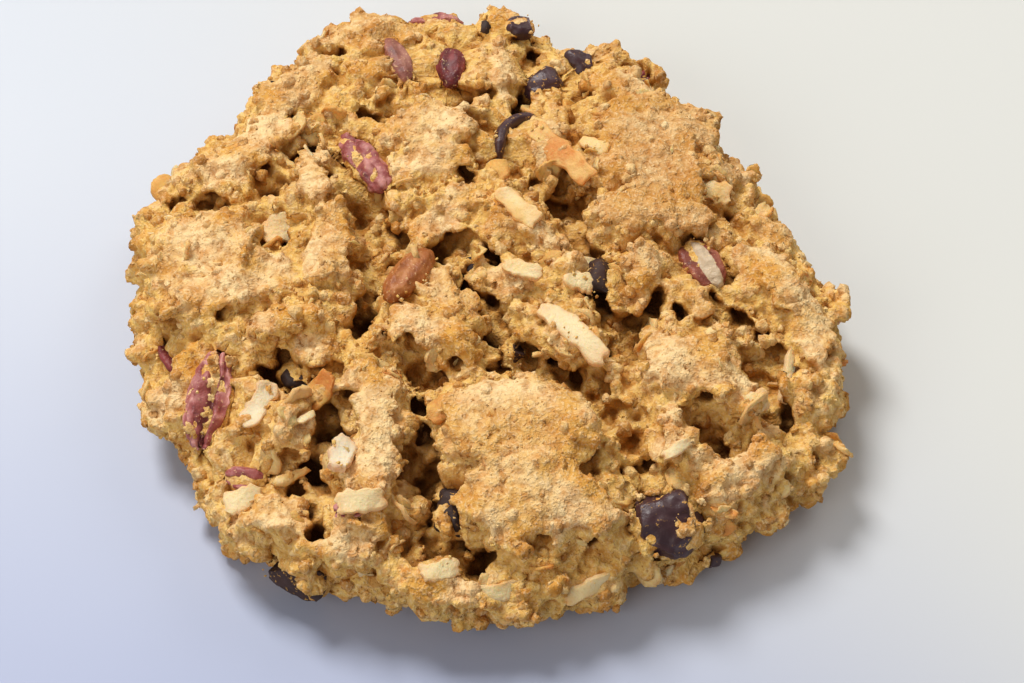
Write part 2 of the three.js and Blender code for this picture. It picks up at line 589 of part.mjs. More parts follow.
// The dough with its flakes, oats and knobs fused on, before the pockets are cut.
function fusedDough(skinMesh) {
  let dough = solidOf(skinMesh.geometry);
  placedFlakes.forEach((row, i) => {
    const hit = findPlace(skinMesh, row);
    const matrix = restingMatrix(hit.point, facingOf(row, hit, flakeLevelling), row);
    dough = dough.add(solidOf(flakeShape(row.size, i).applyMatrix4(matrix)));
  });
  const sampler = new MeshSurfaceSampler(skinMesh).setRandomGenerator(draw).build();
  const point = new THREE.Vector3();
  const outward = new THREE.Vector3();
  const nextPlace = () => {
    do sampler.sample(point, outward);
    while (point.z < lowestBit + oatSize[1] / 2 || outward.z < lowestFacing);
  };
  for (let i = 0; i < oatCount + knobCount; i++) {
    nextPlace();
    const isOat = i < oatCount;
    const scale = THREE.MathUtils.lerp(...oatScales, draw());
    const size = THREE.MathUtils.lerp(...knobSizes, (i - oatCount) / knobCount);
    const shape = isOat ? oatShape(oatSize).scale(scale, scale, 1) : knobShape(size, i);
    const lean = isOat ? THREE.MathUtils.lerp(...oatLeans, draw()) : 0;
    const row = { turn: 360 * draw(), lean, sunk: bitSunk };
    dough = dough.add(solidOf(shape.applyMatrix4(restingMatrix(point, outward, row))));
  }
  return dough;
}

// Direction that a row's piece faces: mostly up on the crown, and out from the wall.
function facingOf(row, hit, upShare) {
  if (row.angle === undefined) return hit.face.normal.clone().lerp(up, upShare).normalize();
  return aroundRim(row.angle, 1, wallTilt).normalize();
}

// Sets each piece on the skin, clear of those before it, and adds its pocket to the list.
function setPieces(skinMesh, rows, shapeOf, power, pockets) {
  return rows.map((row, i) => {
    const hit = findPlace(skinMesh, row);
    const matrix = restingMatrix(hit.point, facingOf(row, hit, pieceLevelling), row);
    const solid = solidOf(shapeOf(row, i).applyMatrix4(matrix));
    const clear = pockets.reduce((rest, pocket) => rest.subtract(pocket), solid);
    pockets.push(solidOf(pocketShape(row, power).applyMatrix4(matrix)));
    return largestBody(clear);
  });
}

// Finishes
const doughFinish = new THREE.MeshStandardMaterial({ color: 0xd2a164, roughness: 0.95, metalness: 0 });
const chocolateFinish = new THREE.MeshStandardMaterial({ color: 0x3a2320, roughness: 0.5, metalness: 0 });
const pecanFinish = new THREE.MeshStandardMaterial({ color: 0x96523a, roughness: 0.7, metalness: 0 });

function namedMesh(name, solid, finish) {
  const mesh = new THREE.Mesh(geometryOf(solid), finish);
  mesh.name = name;
  return mesh;
}

const cookie = new THREE.Group();
cookie.name = "cookie";

const skinMesh = new THREE.Mesh(crackedSkin());
const pockets = [];
const wholeDough = fusedDough(skinMesh);
const chocolateSolids = setPieces(skinMesh, chocolatePieces, chocolateShape, chocolateSquareness, pockets);
const pecanSolids = setPieces(skinMesh, pecanPieces, pecanShape, pecanSquareness, pockets);
const dough = largestBody(pockets.reduce((rest, pocket) => rest.subtract(pocket), wholeDough));

cookie.add(namedMesh("dough", dough, doughFinish));
chocolateSolids.forEach((solid, i) => {
  cookie.add(namedMesh(`chocolate_${i + 1}`, solid, chocolateFinish));
});
pecanSolids.forEach((solid, i) => {
  cookie.add(namedMesh(`pecan_${i + 1}`, solid, pecanFinish));
});

// The middle of the box stands over the origin, and the base lies at height 0.
const box = new THREE.Box3().setFromObject(cookie);
const middle = box.getCenter(new THREE.Vector3());
cookie.position.set(-middle.x, -middle.y, -box.min.z);

export default cookie;
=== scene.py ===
import math

import bmesh
import bpy
import numpy as np
from mathutils import Euler, Matrix, Vector
from mathutils.bvhtree import BVHTree


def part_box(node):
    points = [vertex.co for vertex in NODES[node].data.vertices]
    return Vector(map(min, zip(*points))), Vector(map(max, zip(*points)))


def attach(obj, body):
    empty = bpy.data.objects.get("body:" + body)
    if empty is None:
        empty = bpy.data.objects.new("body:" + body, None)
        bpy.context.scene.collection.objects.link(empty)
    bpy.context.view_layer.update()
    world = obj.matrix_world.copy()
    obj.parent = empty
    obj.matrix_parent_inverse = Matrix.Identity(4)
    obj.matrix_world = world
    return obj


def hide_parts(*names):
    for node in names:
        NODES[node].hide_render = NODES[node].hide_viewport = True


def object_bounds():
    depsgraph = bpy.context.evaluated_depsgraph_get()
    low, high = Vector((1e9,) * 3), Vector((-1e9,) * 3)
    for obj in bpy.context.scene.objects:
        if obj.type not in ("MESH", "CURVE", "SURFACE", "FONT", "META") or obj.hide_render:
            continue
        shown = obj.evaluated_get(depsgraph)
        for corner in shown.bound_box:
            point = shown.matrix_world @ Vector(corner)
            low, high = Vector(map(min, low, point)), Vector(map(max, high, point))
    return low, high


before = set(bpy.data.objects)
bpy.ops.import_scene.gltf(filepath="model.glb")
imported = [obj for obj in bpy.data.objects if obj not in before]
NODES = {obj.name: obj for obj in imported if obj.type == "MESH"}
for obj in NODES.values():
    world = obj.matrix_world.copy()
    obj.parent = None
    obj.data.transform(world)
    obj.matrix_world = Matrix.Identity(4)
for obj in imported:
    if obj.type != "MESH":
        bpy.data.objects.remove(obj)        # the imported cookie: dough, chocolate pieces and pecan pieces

cad_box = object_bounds()
CHOCOLATE_NODES = sorted(name for name in NODES if name.startswith("chocolate"))
PECAN_NODES = sorted(name for name in NODES if name.startswith("pecan"))

# Sizes are in millimetres, and the meshes in metres.
MM = 0.001

# The photograph's view: how far the camera looks down, its distance, lens and the point it faces.
VIEW_DOWN = math.radians(55)
VIEW_DISTANCE = 300
LENS = 90
SENSOR = 36
AIM = (3.42, -3.56, 4.42)
# Half the floor's width, in metres.
FLOOR_REACH = 2.0

# The dough's skin is remeshed at these steps: the carved form first, then the crumbled one.
FORM_STEP = 0.55
BODY_STEP = 0.42
SKIN_STEP = 0.36
DOUGH_TRIANGLES = 194000
SKY_RAYS = 14
SKY_REACH = 6.0
# How the dough meets the chocolate and pecans: it fills their pockets, lies clear of their bare
# faces and laps over their sides.
POCKET_FILL = 0.8
COVER_REACH = 1.6
OPEN_SKY = 40
CLEARED_DEPTH = 4.0
PIECE_REACH = 1.3
PIECE_OVERLAP = 0.6
PIECE_STEP = 0.27

# How far the part was moved to stand over its origin. Places seen from above are those of the
# part before it was moved.
PLAN_SHIFT = (0.45, -1.59)
WELL_ABOVE = 50

# Plates and lumps of crust seen from above: place, length and width, turn of the length, rise.
PLATES = [
    (20, 17.5, 19, 14, 100, 3.2),  # right top plate
    (19.5, 8.2, 17, 6.5, -8, 3),  # its lower part
    (25, 23, 7, 7, 0, 3.2),
    (17.5, 28, 13, 4.5, -12, 2.4),  # back ridge
    (14, 36, 7, 4.5, -5, 2.6),
    (7.5, 17.5, 8, 5, 80, 2.4),  # lump in the curved chocolate
    (29, 15.5, 7, 4.5, 70, 2.4),
    (30.2, 20, 2.8, 2.4, 0, 2.4),
    (34.4, 8, 6, 4.5, -35, 2.6),
    (33.4, 0, 11, 7, -60, 2.6),  # right shoulder
    (17.4, -0.6, 8, 7.5, 0, 3),  # pale edged block
    (12.9, 1.8, 6, 3, -5, 2.6),
    (6.4, 6, 11, 4, -50, 2.6),  # centre strip
    (3.4, -1, 7, 4, -10, 2.2),
    (1.9, 6.4, 5, 5, 0, 2),
    (24.9, -4.6, 5, 5, 0, 3.2),  # orange lump
    (2.8, 32, 10, 3.6, 88, 2.4),  # column beside the back chocolate
    (2.9, 41.4, 7, 4, 0, 2.4),
    (-14.1, 38, 12, 7, 12, 2.8),  # back left hump
    (-22.6, 29.4, 11, 5, 35, 2.6),
    (-13.1, 31, 10, 4, -14, 2.4),
    (-28.6, 19, 14, 8, 55, 2.2),  # spongy back left face
    (-19, 13, 11, 7.5, 95, 3.4),  # tongue
    (-17, 3, 12, 7, 85, 3.4),
    (-31.6, 2.4, 17, 13, 80, 2.8),  # left crust
    (-25.6, -1.6, 9, 8, 20, 2.2),
    (-6, 21, 13, 8, 10, 2.6),  # plateau behind the rose pecan
    (-5.6, 15.4, 9, 4.5, 0, 2),
    (-6, 7, 9, 4, -10, 1.4),
    (-1.6, 10, 6, 5, 0, 2.2),
    (-4.6, -3.2, 7.6, 8, 0, 2.4),  # lump beside the tan pecan
    (-2, -4.6, 7, 6, -30, 2.4),
    (-5.6, -9.6, 13, 6, -12, 3),  # middle lump
    (-0.6, -13, 6, 4, -30, 2),
    (-22, -8, 10, 6, -5, 2.8),
    (-20.6, -21, 8, 5.5, 85, 3.8),  # knob
    (-16.6, -16.6, 10, 3.5, 5, 3),
    (-10.6, -22.6, 17, 7, 86, 3.9),  # tall left lump
    (-12, -29.6, 8, 7, 80, 3),
    (4.4, -21.6, 21, 12, -3, 3.6),  # lower middle plate
    (6.4, -30.6, 19, 10, -5, 3),
    (22.4, -13, 12, 8, 5, 3.2),  # right lump
    (28.4, -14.6, 6, 7, 0, 3),
    (20.4, -22.6, 7, 6, 70, 3),
    (28.4, -25.6, 11, 6, 20, 2.6),
    (38, -6.6, 12, 4.4, 100, 2.2),
    (32, -19.6, 6, 3.5, 60, 2.2),
    (-33.6, -12.6, 12, 5, 60, 1.8),
    (-22.6, -31, 7, 5, -10, 2.4),
    (-14.6, -34, 11, 5, 5, 2.4),
    (-4, -39, 9, 4, 0, 2),
]

# Cracks and holes seen from above: width, depth, and the line of the floor.
CRACKS = [
    (3.2, 4.4, [(-7, -19), (-6.4, -22.6), (-5.6, -26.6), (-4.8, -30.6), (-4, -33.6), (-2, -36)]),
    (4, 4.6, [(-17, 17.6), (-14.8, 11.6), (-11.8, 6.4), (-12, 1.4), (-13, -2.6), (-13.2, -7)]),
    (2.8, 4.4, [(-11.6, 1.8), (-7.6, 2.2), (-4.2, 3.8), (-1.1, 4), (0.9, 2.4)]),
    (2.6, 4, [(-1.4, 3), (-1.2, -0.6), (0.4, -4), (1.8, -7)]),
    (3.4, 3.6, [(-24, -13), (-21.2, -13), (-20.2, -15), (-17, -13.2)]),
    (1.8, 2.4, [(-12.2, -11.6), (-10.2, -11.8)]),
    (2.2, 2.6, [(-7.8, -11.4), (-6, -13.6), (-3.6, -15.2)]),
    (2.4, 3.4, [(-16.8, -19), (-17.2, -22.6), (-18, -25.6)]),
    (2, 2.6, [(-25.2, -17.4), (-24.8, -20.6)]),
    (2.2, 2.4, [(-20.6, -26.6), (-18.4, -29.6), (-17.8, -32.6)]),
    (3.8, 4.2, [(1.8, -8.6), (3, -11.6), (7, -13.2), (10.4, -14), (12.8, -16.6), (17.4, -22.6)]),
    (2.8, 4.2, [(9.4, 14.8), (10.4, 11), (11, 6.4), (12.2, 3.2)]),
    (3, 4, [(14.6, 0.8), (15.2, -2), (14, -4.2), (16.8, -5.6)]),
    (2.6, 3.2, [(16.8, -5.6), (20, -5.2), (22.6, -5)]),
    (3, 3.2, [(16.6, -6), (16.2, -10), (16.6, -13.6)]),
    (2.4, 2.8, [(26.8, -3.6), (29, -5.6), (31.4, -7.6)]),
    (3.4, 1, [(24.6, -20), (28, -22)]),
    (2.6, 3.4, [(18, -22.6), (18, -27), (20.4, -27)]),
    (2.4, 3.8, [(4, 25), (4.8, 28.4), (5.8, 32.6), (6.2, 36.4)]),
    (2.8, 2.8, [(-14.6, 24), (-11, 26.8), (-5.6, 28), (0.4, 27.4)]),
    (2.8, 4.4, [(-21.2, 19.6), (-21, 21.2)]),
    (2, 3, [(-22.4, 23.8), (-22, 24.3)]),
    (2.6, 2.2, [(-23, 16.4), (-26, 13), (-30.6, 12), (-35.6, 12.4)]),
    (2.2, 2.6, [(-25.4, 5.8), (-23.2, 6)]),
    (2, 1.8, [(-1.2, 22), (0, 21.6)]),
    (2.2, 2.4, [(-2.6, 13.6), (-1.2, 14.2)]),
    (1.8, 3, [(2.8, 11.2), (3.3, 11.1)]),
    (2.6, 2.2, [(3, 14.4), (2, 12.8)]),
    (1.9, 2.2, [(26.6, 17.4), (26, 13.4), (27.4, 10.8)]),
    (2.6, 3.4, [(33.4, -9.6), (32, -14.6), (33, -18)]),
    (2.2, 2.4, [(35, -21), (35.4, -25)]),
    (2.2, 3, [(-8.2, -32), (-7.4, -35.6)]),
    (2.6, 2, [(-32.6, -7.6), (-31.8, -7.6)]),
    (1.9, 1.6, [(-34.2, -0.2), (-33.8, -0.3)]),
    (0.8, 0.8, [(14.4, 10.8), (18.4, 11.6), (23.4, 10.6)]),
]
# A plate's side falls from this far inside its outline to this far outside.
PLATE_INSIDE = 0.8
PLATE_OUTSIDE = 0.55
# A crack's floor and upper edge, as shares of half its width.
CRACK_FLOOR = 0.3
CRACK_EDGE = 1.15
CRACK_DEEPENING = 1.15
# The skin keeps the solid's depths, and goes deeper inside a crack by this share of its depth.
GORGE_SHARE = 0.22
THINNEST = 2.4
# Plates and cracks are cut from this height up, in full at the second. Rounds of smoothing leave
# the solid's broad form alone.
CARVED_FROM = 3
CARVED_FULL = 8
BROAD_ROUNDS = 110

# Painted shade and painted light on the crust, darker or paler by place: place from above, reach, and how
# much darker.
PAINTED_SHADE_AND_LIGHT = [
    (20, 14, 15, 0.3),
    (18, -12, 9, 0.12),
    (3, -24, 10, -0.2),
    (-18, -24, 10, -0.15),
    (-14, 36, 12, 0.14),
    (9, -33, 7, 0.16),
    (-17, 8, 7, 0.1),
]

CURLED_CHOCOLATE = "chocolate_3"
HOODED_CHOCOLATE = "chocolate_11"
FREED_PECAN = "pecan_3"
# Pieces that lie open. The rest show only where the dough has broken away from them.
OPEN_PIECES = ["chocolate_1", "chocolate_2", "chocolate_3", "chocolate_4", "chocolate_9", "chocolate_10",
               "pecan_1", "pecan_2", "pecan_3", "pecan_4", "pecan_5", "pecan_6", "pecan_7", "pecan_8"]
# The dough laps over a piece's face where its noise is under this.
OPEN_LAP = -0.85
SUNKEN_LAP = 0.25
NO_LAP = -2
# The hooded chocolate is roofed over from these shares of its box, from the left and upwards.
ROOF_LEFT = 0.2
ROOF_LOW = 0.38
BROKEN_SIDES = 6


# Arrays and seeded noise

def hashed(cells, seed):
    """A number from 0 to 1 for each whole-numbered cell, the same on every run."""
    mask = np.uint64(0xFFFFFFFF)
    keys = cells.astype(np.int64).astype(np.uint64)
    mixed = (keys[..., 0] * np.uint64(0x8DA6B343) + keys[..., 1] * np.uint64(0xD8163841)
             + keys[..., 2] * np.uint64(0xCB1AB31F) + np.uint64(seed) * np.uint64(0x9E3779B1)) & mask
    for factor, shift in ((0x2C1B3C6D, 15), (0x297A2D39, 12)):
        mixed ^= mixed >> np.uint64(shift)
        mixed = (mixed * np.uint64(factor)) & mask
    mixed ^= mixed >> np.uint64(15)
    return mixed.astype(float) / float(mask)


CORNERS = np.array([(i, j, k) for i in (0, 1) for j in (0, 1) for k in (0, 1)])
NEIGHBOURS = np.array([(i, j, k) for i in (-1, 0, 1) for j in (-1, 0, 1) for k in (-1, 0, 1)])


def soft_noise(points, size, seed):
    """Smooth noise from -1 to 1, with hills about one size apart."""
    places = points / size
    cells = np.floor(places)
    t = places - cells
    t = t * t * (3 - 2 * t)
    total = np.zeros(len(points))
    for corner in CORNERS:
        weight = np.prod(np.where(corner == 1, t, 1 - t), axis=1)
        total += weight * hashed(cells + corner, seed)
    return 2 * total - 1


def soft_shift(points, size, seed):
    """A smooth sideways shift for each point, up to 1 either way along each axis."""
    return np.stack([soft_noise(points, size, seed + k) for k in range(3)], axis=1)


def cell_noise(points, size, seed):
    """Distances to the nearest and second of the points strewn one to a cell, and the nearest's number."""
    places = points / size
    cells = np.floor(places)
    nearest = np.full(len(points), 9.0)
    second = np.full(len(points), 9.0)
    owner = np.zeros(len(points))
    for step in NEIGHBOURS:
        other = cells + step
        spot = other + np.stack([hashed(other, seed + k) for k in (1, 2, 3)], axis=1)
        reach = np.linalg.norm(places - spot, axis=1)
        closer = reach < nearest
        second = np.where(closer, nearest, np.minimum(second, reach))
        owner[closer] = hashed(other, seed + 4)[closer]
        nearest[closer] = reach[closer]
    return nearest, second, owner


def ramp(values, low, high):
    t = np.clip((values - low) / (high - low), 0, 1)
    return t * t * (3 - 2 * t)


# Meshes

def add_object(name, data):
    piece = bpy.data.objects.new(name, data)
    bpy.context.scene.collection.objects.link(piece)
    return piece


def remove_object(piece):
    mesh = piece.data
    bpy.data.objects.remove(piece, do_unlink=True)
    bpy.data.meshes.remove(mesh)


def mesh_of(form, name):
    """The form as a mesh, and the form freed."""
    mesh = bpy.data.meshes.new(name)
    form.to_mesh(mesh)
    form.free()
    return mesh


def merged_copy(node):
    """A node's mesh with its loose triangles joined."""
    form = bmesh.new()
    form.from_mesh(NODES[node].data)
    bmesh.ops.remove_doubles(form, verts=form.verts, dist=1e-6)
    return mesh_of(form, node + "_copy")


def read(items, key, width, kind=float):
    """One row of numbers for each vertex or edge."""
    flat = np.empty(len(items) * width, dtype=kind)
    items.foreach_get(key, flat)
    return flat.reshape(-1, width)


def points_of(mesh):
    return read(mesh.vertices, "co", 3) / MM


def normals_of(mesh):
    return read(mesh.vertices, "normal", 3)


def set_points(mesh, points):
    mesh.vertices.foreach_set("co", (points * MM).ravel())
    mesh.update()


def edges_of(mesh):
    return read(mesh.edges, "vertices", 2, np.int32)


def averaged(values, edges, rounds, share=0.5):
    """Moves each value towards its neighbours' mean, round after round."""
    first, second = edges.T
    count = len(values)
    degree = np.maximum(np.bincount(first, minlength=count) + np.bincount(second, minlength=count), 1)
    values = values.copy()
    columns = values[:, None] if values.ndim == 1 else values
    for _ in range(rounds):
        for k in range(columns.shape[1]):
            column = columns[:, k]
            total = np.bincount(first, column[second], count) + np.bincount(second, column[first], count)
            columns[:, k] = (1 - share) * column + share * total / degree
    return columns[:, 0] if values.ndim == 1 else columns


def smooth_normals(mesh, rounds):
    """The mesh's normals averaged with their neighbours', each one long."""
    normals = averaged(normals_of(mesh), edges_of(mesh), rounds)
    return normals / np.linalg.norm(normals, axis=1)[:, None]


def store(mesh, name, values):
    attribute = mesh.attributes.new(name, "FLOAT", "POINT")
    attribute.data.foreach_set("value", values.astype(np.float32))


def dress(mesh, finish):
    mesh.materials.clear()
    mesh.materials.append(finish)


def joined(name, meshes):
    """One mesh of several."""
    form = bmesh.new()
    for mesh in meshes:
        form.from_mesh(mesh)
    return mesh_of(form, name)


def modified(mesh, name, kind, settings, inputs):
    """A new mesh with a modifier made real. The given mesh is used up."""
    carrier = add_object(name + "_carrier", mesh)
    modifier = carrier.modifiers.new(name, kind)
    for key, value in settings.items():
        setattr(modifier, key, value)
    for key, value in inputs.items():
        modifier[key] = value
    graph = bpy.context.evaluated_depsgraph_get()
    made = bpy.data.meshes.new_from_object(carrier.evaluated_get(graph), depsgraph=graph)
    made.name = name
    carrier.modifiers.clear()
    remove_object(carrier)
    return made


def remeshed(mesh, step, name):
    return modified(mesh, name, "REMESH", {"mode": "VOXEL", "voxel_size": step * MM}, {})


def thinned(mesh, most):
    """The mesh with fewer triangles where it is flattest."""
    triangles = sum(len(face.vertices) - 2 for face in mesh.polygons)
    return modified(mesh, mesh.name, "DECIMATE", {"ratio": min(most / triangles, 1)}, {})


def shade_smooth(mesh):
    mesh.polygons.foreach_set("use_smooth", np.ones(len(mesh.polygons), dtype=bool))
    mesh.update()


def within(points, box):
    """The points held just inside a box."""
    low, high = (np.array(corner) / MM for corner in box)
    return np.clip(points, low + 0.01, high - 0.01)


def finished(name, mesh, box):
    """The mesh as a smooth piece inside a box."""
    set_points(mesh, within(points_of(mesh), box))
    shade_smooth(mesh)
    return add_object(name, mesh)


def largest_body(mesh):
    """Deletes every loose island of the mesh but the largest."""
    edges = edges_of(mesh)
    label = np.arange(len(mesh.vertices))
    while True:
        low = np.minimum(label[edges[:, 0]], label[edges[:, 1]])
        new = label.copy()
        np.minimum.at(new, edges[:, 0], low)
        np.minimum.at(new, edges[:, 1], low)
        new = new[new]
        if np.array_equal(new, label):
            break
        label = new
    keep = np.bincount(label).argmax()
    form = bmesh.new()
    form.from_mesh(mesh)
    form.verts.ensure_lookup_table()
    bmesh.ops.delete(form, geom=[form.verts[i] for i in np.flatnonzero(label != keep)], context="VERTS")
    form.to_mesh(mesh)
    form.free()


# Node trees

class Tree:
    """A node tree under construction: adds nodes, sets their inputs and links them."""

    def __init__(self, tree):
        self.tree = tree

    def node(self, kind, settings=None, **inputs):
        made = self.tree.nodes.new(kind)
        for key, value in (settings or {}).items():
            setattr(made, key, value)
        for key, value in inputs.items():
            self.feed(made, key.replace("_", " "), value)
        return made

    def feed(self, made, key, value):
        names = [socket.name.lower() for socket in made.inputs]
        spots = [i for i, name in enumerate(names) if name == key.lower() and made.inputs[i].enabled]
        self.put(made.inputs[spots[0]], value)

    def put(self, socket, value):
        if isinstance(value, bpy.types.NodeSocket):
            self.tree.links.new(value, socket)
        else:
            socket.default_value = value

    def math(self, operation, first, second, clamp=False):
        made = self.node("ShaderNodeMath", {"operation": operation, "use_clamp": clamp})
        self.put(made.inputs[0], first)
        self.put(made.inputs[1], second)
        return made.outputs[0]

    def times(self, first, second):
        return self.math("MULTIPLY", first, second)

    def plus(self, first, second):
        return self.math("ADD", first, second)


# Geometry Nodes: grains, flakes and clumps strewn over a surface

def strewing_tree():
    """Strews copies of one shape over a surface, each turned, tilted, scaled and made uneven."""
    group = bpy.data.node_groups.new("strewn over a surface", "GeometryNodeTree")
    face = group.interface
    face.new_socket(name="Surface", in_out="INPUT", socket_type="NodeSocketGeometry")
    for name, kind in (("Shape", "NodeSocketObject"), ("Density", "NodeSocketFloat"),
                       ("Mask", "NodeSocketString"), ("Seed", "NodeSocketInt"),
                       ("Smallest", "NodeSocketFloat"), ("Largest", "NodeSocketFloat"),
                       ("Sunk", "NodeSocketFloat"), ("Tilt", "NodeSocketFloat"),
                       ("Unevenness", "NodeSocketFloat"), ("Grain", "NodeSocketFloat"),
                       ("Finish", "NodeSocketMaterial")):
        face.new_socket(name=name, in_out="INPUT", socket_type=kind)
    face.new_socket(name="Geometry", in_out="OUTPUT", socket_type="NodeSocketGeometry")
    tree = Tree(group)
    given = tree.node("NodeGroupInput").outputs

    mask = tree.node("GeometryNodeInputNamedAttribute", {"data_type": "FLOAT"}, name=given["Mask"])
    points = tree.node("GeometryNodeDistributePointsOnFaces", {"distribute_method": "RANDOM"},
                       mesh=given["Surface"], seed=given["Seed"],
                       density=tree.times(given["Density"], mask.outputs[0]))
    draw = tree.node("FunctionNodeRandomValue", {"data_type": "FLOAT"}, min=0.0, max=1.0, seed=given["Seed"])
    fewer_large = tree.math("POWER", draw.outputs[1], 2.0)
    span = tree.math("SUBTRACT", given["Largest"], given["Smallest"])
    scale = tree.plus(given["Smallest"], tree.times(fewer_large, span))
    drop = tree.times(tree.times(given["Sunk"], scale), -1.0)
    inward = tree.node("ShaderNodeVectorMath", {"operation": "SCALE"},
                       vector=points.outputs["Normal"], scale=drop)
    sunk = tree.node("GeometryNodeSetPosition", geometry=points.outputs["Points"],
                     offset=inward.outputs[0])

    lowest = tree.node("ShaderNodeCombineXYZ", x=tree.times(given["Tilt"], -1.0),
                       y=tree.times(given["Tilt"], -1.0), z=-math.pi)
    highest = tree.node("ShaderNodeCombineXYZ", x=given["Tilt"], y=given["Tilt"], z=math.pi)
    turn = tree.node("FunctionNodeRandomValue", {"data_type": "FLOAT_VECTOR"},
                     min=lowest.outputs[0], max=highest.outputs[0],
                     seed=tree.plus(given["Seed"], 7.0))
    euler = tree.node("FunctionNodeEulerToRotation", euler=turn.outputs[0])
    rotation = tree.node("FunctionNodeRotateRotation", {"rotation_space": "LOCAL"},
                         rotation=points.outputs["Rotation"], rotate_by=euler.outputs[0])
    shape = tree.node("GeometryNodeObjectInfo", object=given["Shape"])
    copies = tree.node("GeometryNodeInstanceOnPoints", points=sunk.outputs[0],
                       instance=shape.outputs["Geometry"], rotation=rotation.outputs[0], scale=scale)
    tone = tree.node("FunctionNodeRandomValue", {"data_type": "FLOAT"}, min=0.0, max=1.0,
                     seed=tree.plus(given["Seed"], 3.0))
    toned = tree.node("GeometryNodeStoreNamedAttribute", {"data_type": "FLOAT", "domain": "INSTANCE"},
                      geometry=copies.outputs[0], name="tone", value=tone.outputs[1])
    real = tree.node("GeometryNodeRealizeInstances", geometry=toned.outputs[0])

    place = tree.node("GeometryNodeInputPosition")
    rough = tree.node("ShaderNodeTexNoise", vector=place.outputs[0],
                      scale=tree.math("DIVIDE", 1.0, given["Grain"]), detail=1.0)
    centred = tree.node("ShaderNodeVectorMath", {"operation": "SUBTRACT"}, vector=rough.outputs["Color"])
    centred.inputs[1].default_value = (0.5, 0.5, 0.5)
    shift = tree.node("ShaderNodeVectorMath", {"operation": "SCALE"}, vector=centred.outputs[0],
                      scale=given["Unevenness"])
    uneven = tree.node("GeometryNodeSetPosition", geometry=real.outputs[0], offset=shift.outputs[0])
    finished = tree.node("GeometryNodeSetMaterial", geometry=uneven.outputs[0], material=given["Finish"])
    out = tree.node("NodeGroupOutput")
    group.links.new(finished.outputs[0], out.inputs[0])
    return group


STREWING = strewing_tree()


def strew(name, surface, shape, finish, mask, density, seed, sizes, sunk, tilt, unevenness, grain):
    """A mesh of one shape strewn over a surface. Density is for each square centimetre."""
    values = {"Shape": shape, "Density": density * 1e4, "Mask": mask, "Seed": seed,
              "Smallest": sizes[0], "Largest": sizes[1], "Sunk": sunk * MM, "Tilt": tilt,
              "Unevenness": unevenness * MM, "Grain": grain * MM, "Finish": finish}
    inputs = {socket.identifier: values[socket.name] for socket in STREWING.interface.items_tree
              if socket.name in values}
    return modified(surface, name, "NODES", {"node_group": STREWING}, inputs)


# Small shapes, made once and strewn

def round_mesh(name, detail, size):
    form = bmesh.new()
    bmesh.ops.create_icosphere(form, subdivisions=detail, radius=size / 2 * MM)
    return mesh_of(form, name)


def speck_mesh():
    """The smallest grain, of eight faces and 1 mm across."""
    form = bmesh.new()
    tops = [form.verts.new((0, 0, z * MM)) for z in (0.4, -0.4)]
    ring = [form.verts.new((x * MM, y * MM, 0)) for x, y in ((0.5, 0), (0, 0.5), (-0.5, 0), (0, -0.5))]
    for first, second in zip(ring, ring[1:] + ring[:1]):
        form.faces.new((tops[0], first, second))
        form.faces.new((tops[1], second, first))
    return mesh_of(form, "speck")


def flake_mesh(name, length, width, thickness, cup=0.0, twist=0.0, fray=0.0, blunt=8, seed=0,
               along=8, across=3):
    """A thin flake with closed sides: an uneven outline, a cupped and twisted blade, frayed edges."""
    rows = []
    for i in range(along + 1):
        t = 2 * i / along - 1
        half = 0.5 * width * math.sqrt(max(1 - abs(t) ** blunt, 0.05 * blunt))
        row = []
        for j in range(across + 1):
            s = 2 * j / across - 1
            edge = fray * width * (hashed(np.array([i, j, 3]), seed) - 0.5) * abs(s)
            end = fray * width * (hashed(np.array([i, j, 4]), seed) - 0.5) * abs(t) ** 3
            z = cup * length * (t * t + s * s * 0.3) + math.sin(t * 1.5) * s * half * twist
            row.append((t * length / 2 + end, s * half + edge, z))
        rows.append(row)
    form = bmesh.new()
    grid = np.array(rows)
    layers = []
    for side in (1, -1):
        layers.append([[form.verts.new(Vector(p) * MM + Vector((0, 0, side * thickness / 2 * MM)))
                        for p in row] for row in grid])
    top, bottom = layers
    for i in range(along):
        for j in range(across):
            form.faces.new((top[i][j], top[i + 1][j], top[i + 1][j + 1], top[i][j + 1]))
            form.faces.new((bottom[i][j], bottom[i][j + 1], bottom[i + 1][j + 1], bottom[i + 1][j]))
    rim = ([(i, 0) for i in range(along)] + [(along, j) for j in range(across)]
           + [(i, across) for i in range(along, 0, -1)] + [(0, j) for j in range(across, 0, -1)])
    for (i, j), (k, l) in zip(rim, rim[1:] + rim[:1]):
        form.faces.new((top[i][j], bottom[i][j], bottom[k][l], top[k][l]))
    bmesh.ops.recalc_face_normals(form, faces=form.faces)
    mesh = mesh_of(form, name)
    rims = [max(abs(2 * i / along - 1), abs(2 * j / across - 1)) ** 4
            for i in range(along + 1) for j in range(across + 1)]
    store(mesh, "rim", np.array(rims * 2))
    return mesh


# Materials

def material(name):
    made = bpy.data.materials.new(name)
    made.use_nodes = True
    made.node_tree.nodes.clear()
    tree = Tree(made.node_tree)
    shader = tree.node("ShaderNodeBsdfPrincipled")
    out = tree.node("ShaderNodeOutputMaterial")
    made.node_tree.links.new(shader.outputs[0], out.inputs[0])
    return made, tree, shader


def noise_at(tree, size, detail=2.0, roughness=0.5):
    """Noise over the object, with hills about one size in millimetres apart."""
    place = tree.node("ShaderNodeTexCoord").outputs["Object"]
    made = tree.node("ShaderNodeTexNoise", vector=place, scale=1 / (size * MM), detail=detail,
                     roughness=roughness)
    return made.outputs["Fac"]


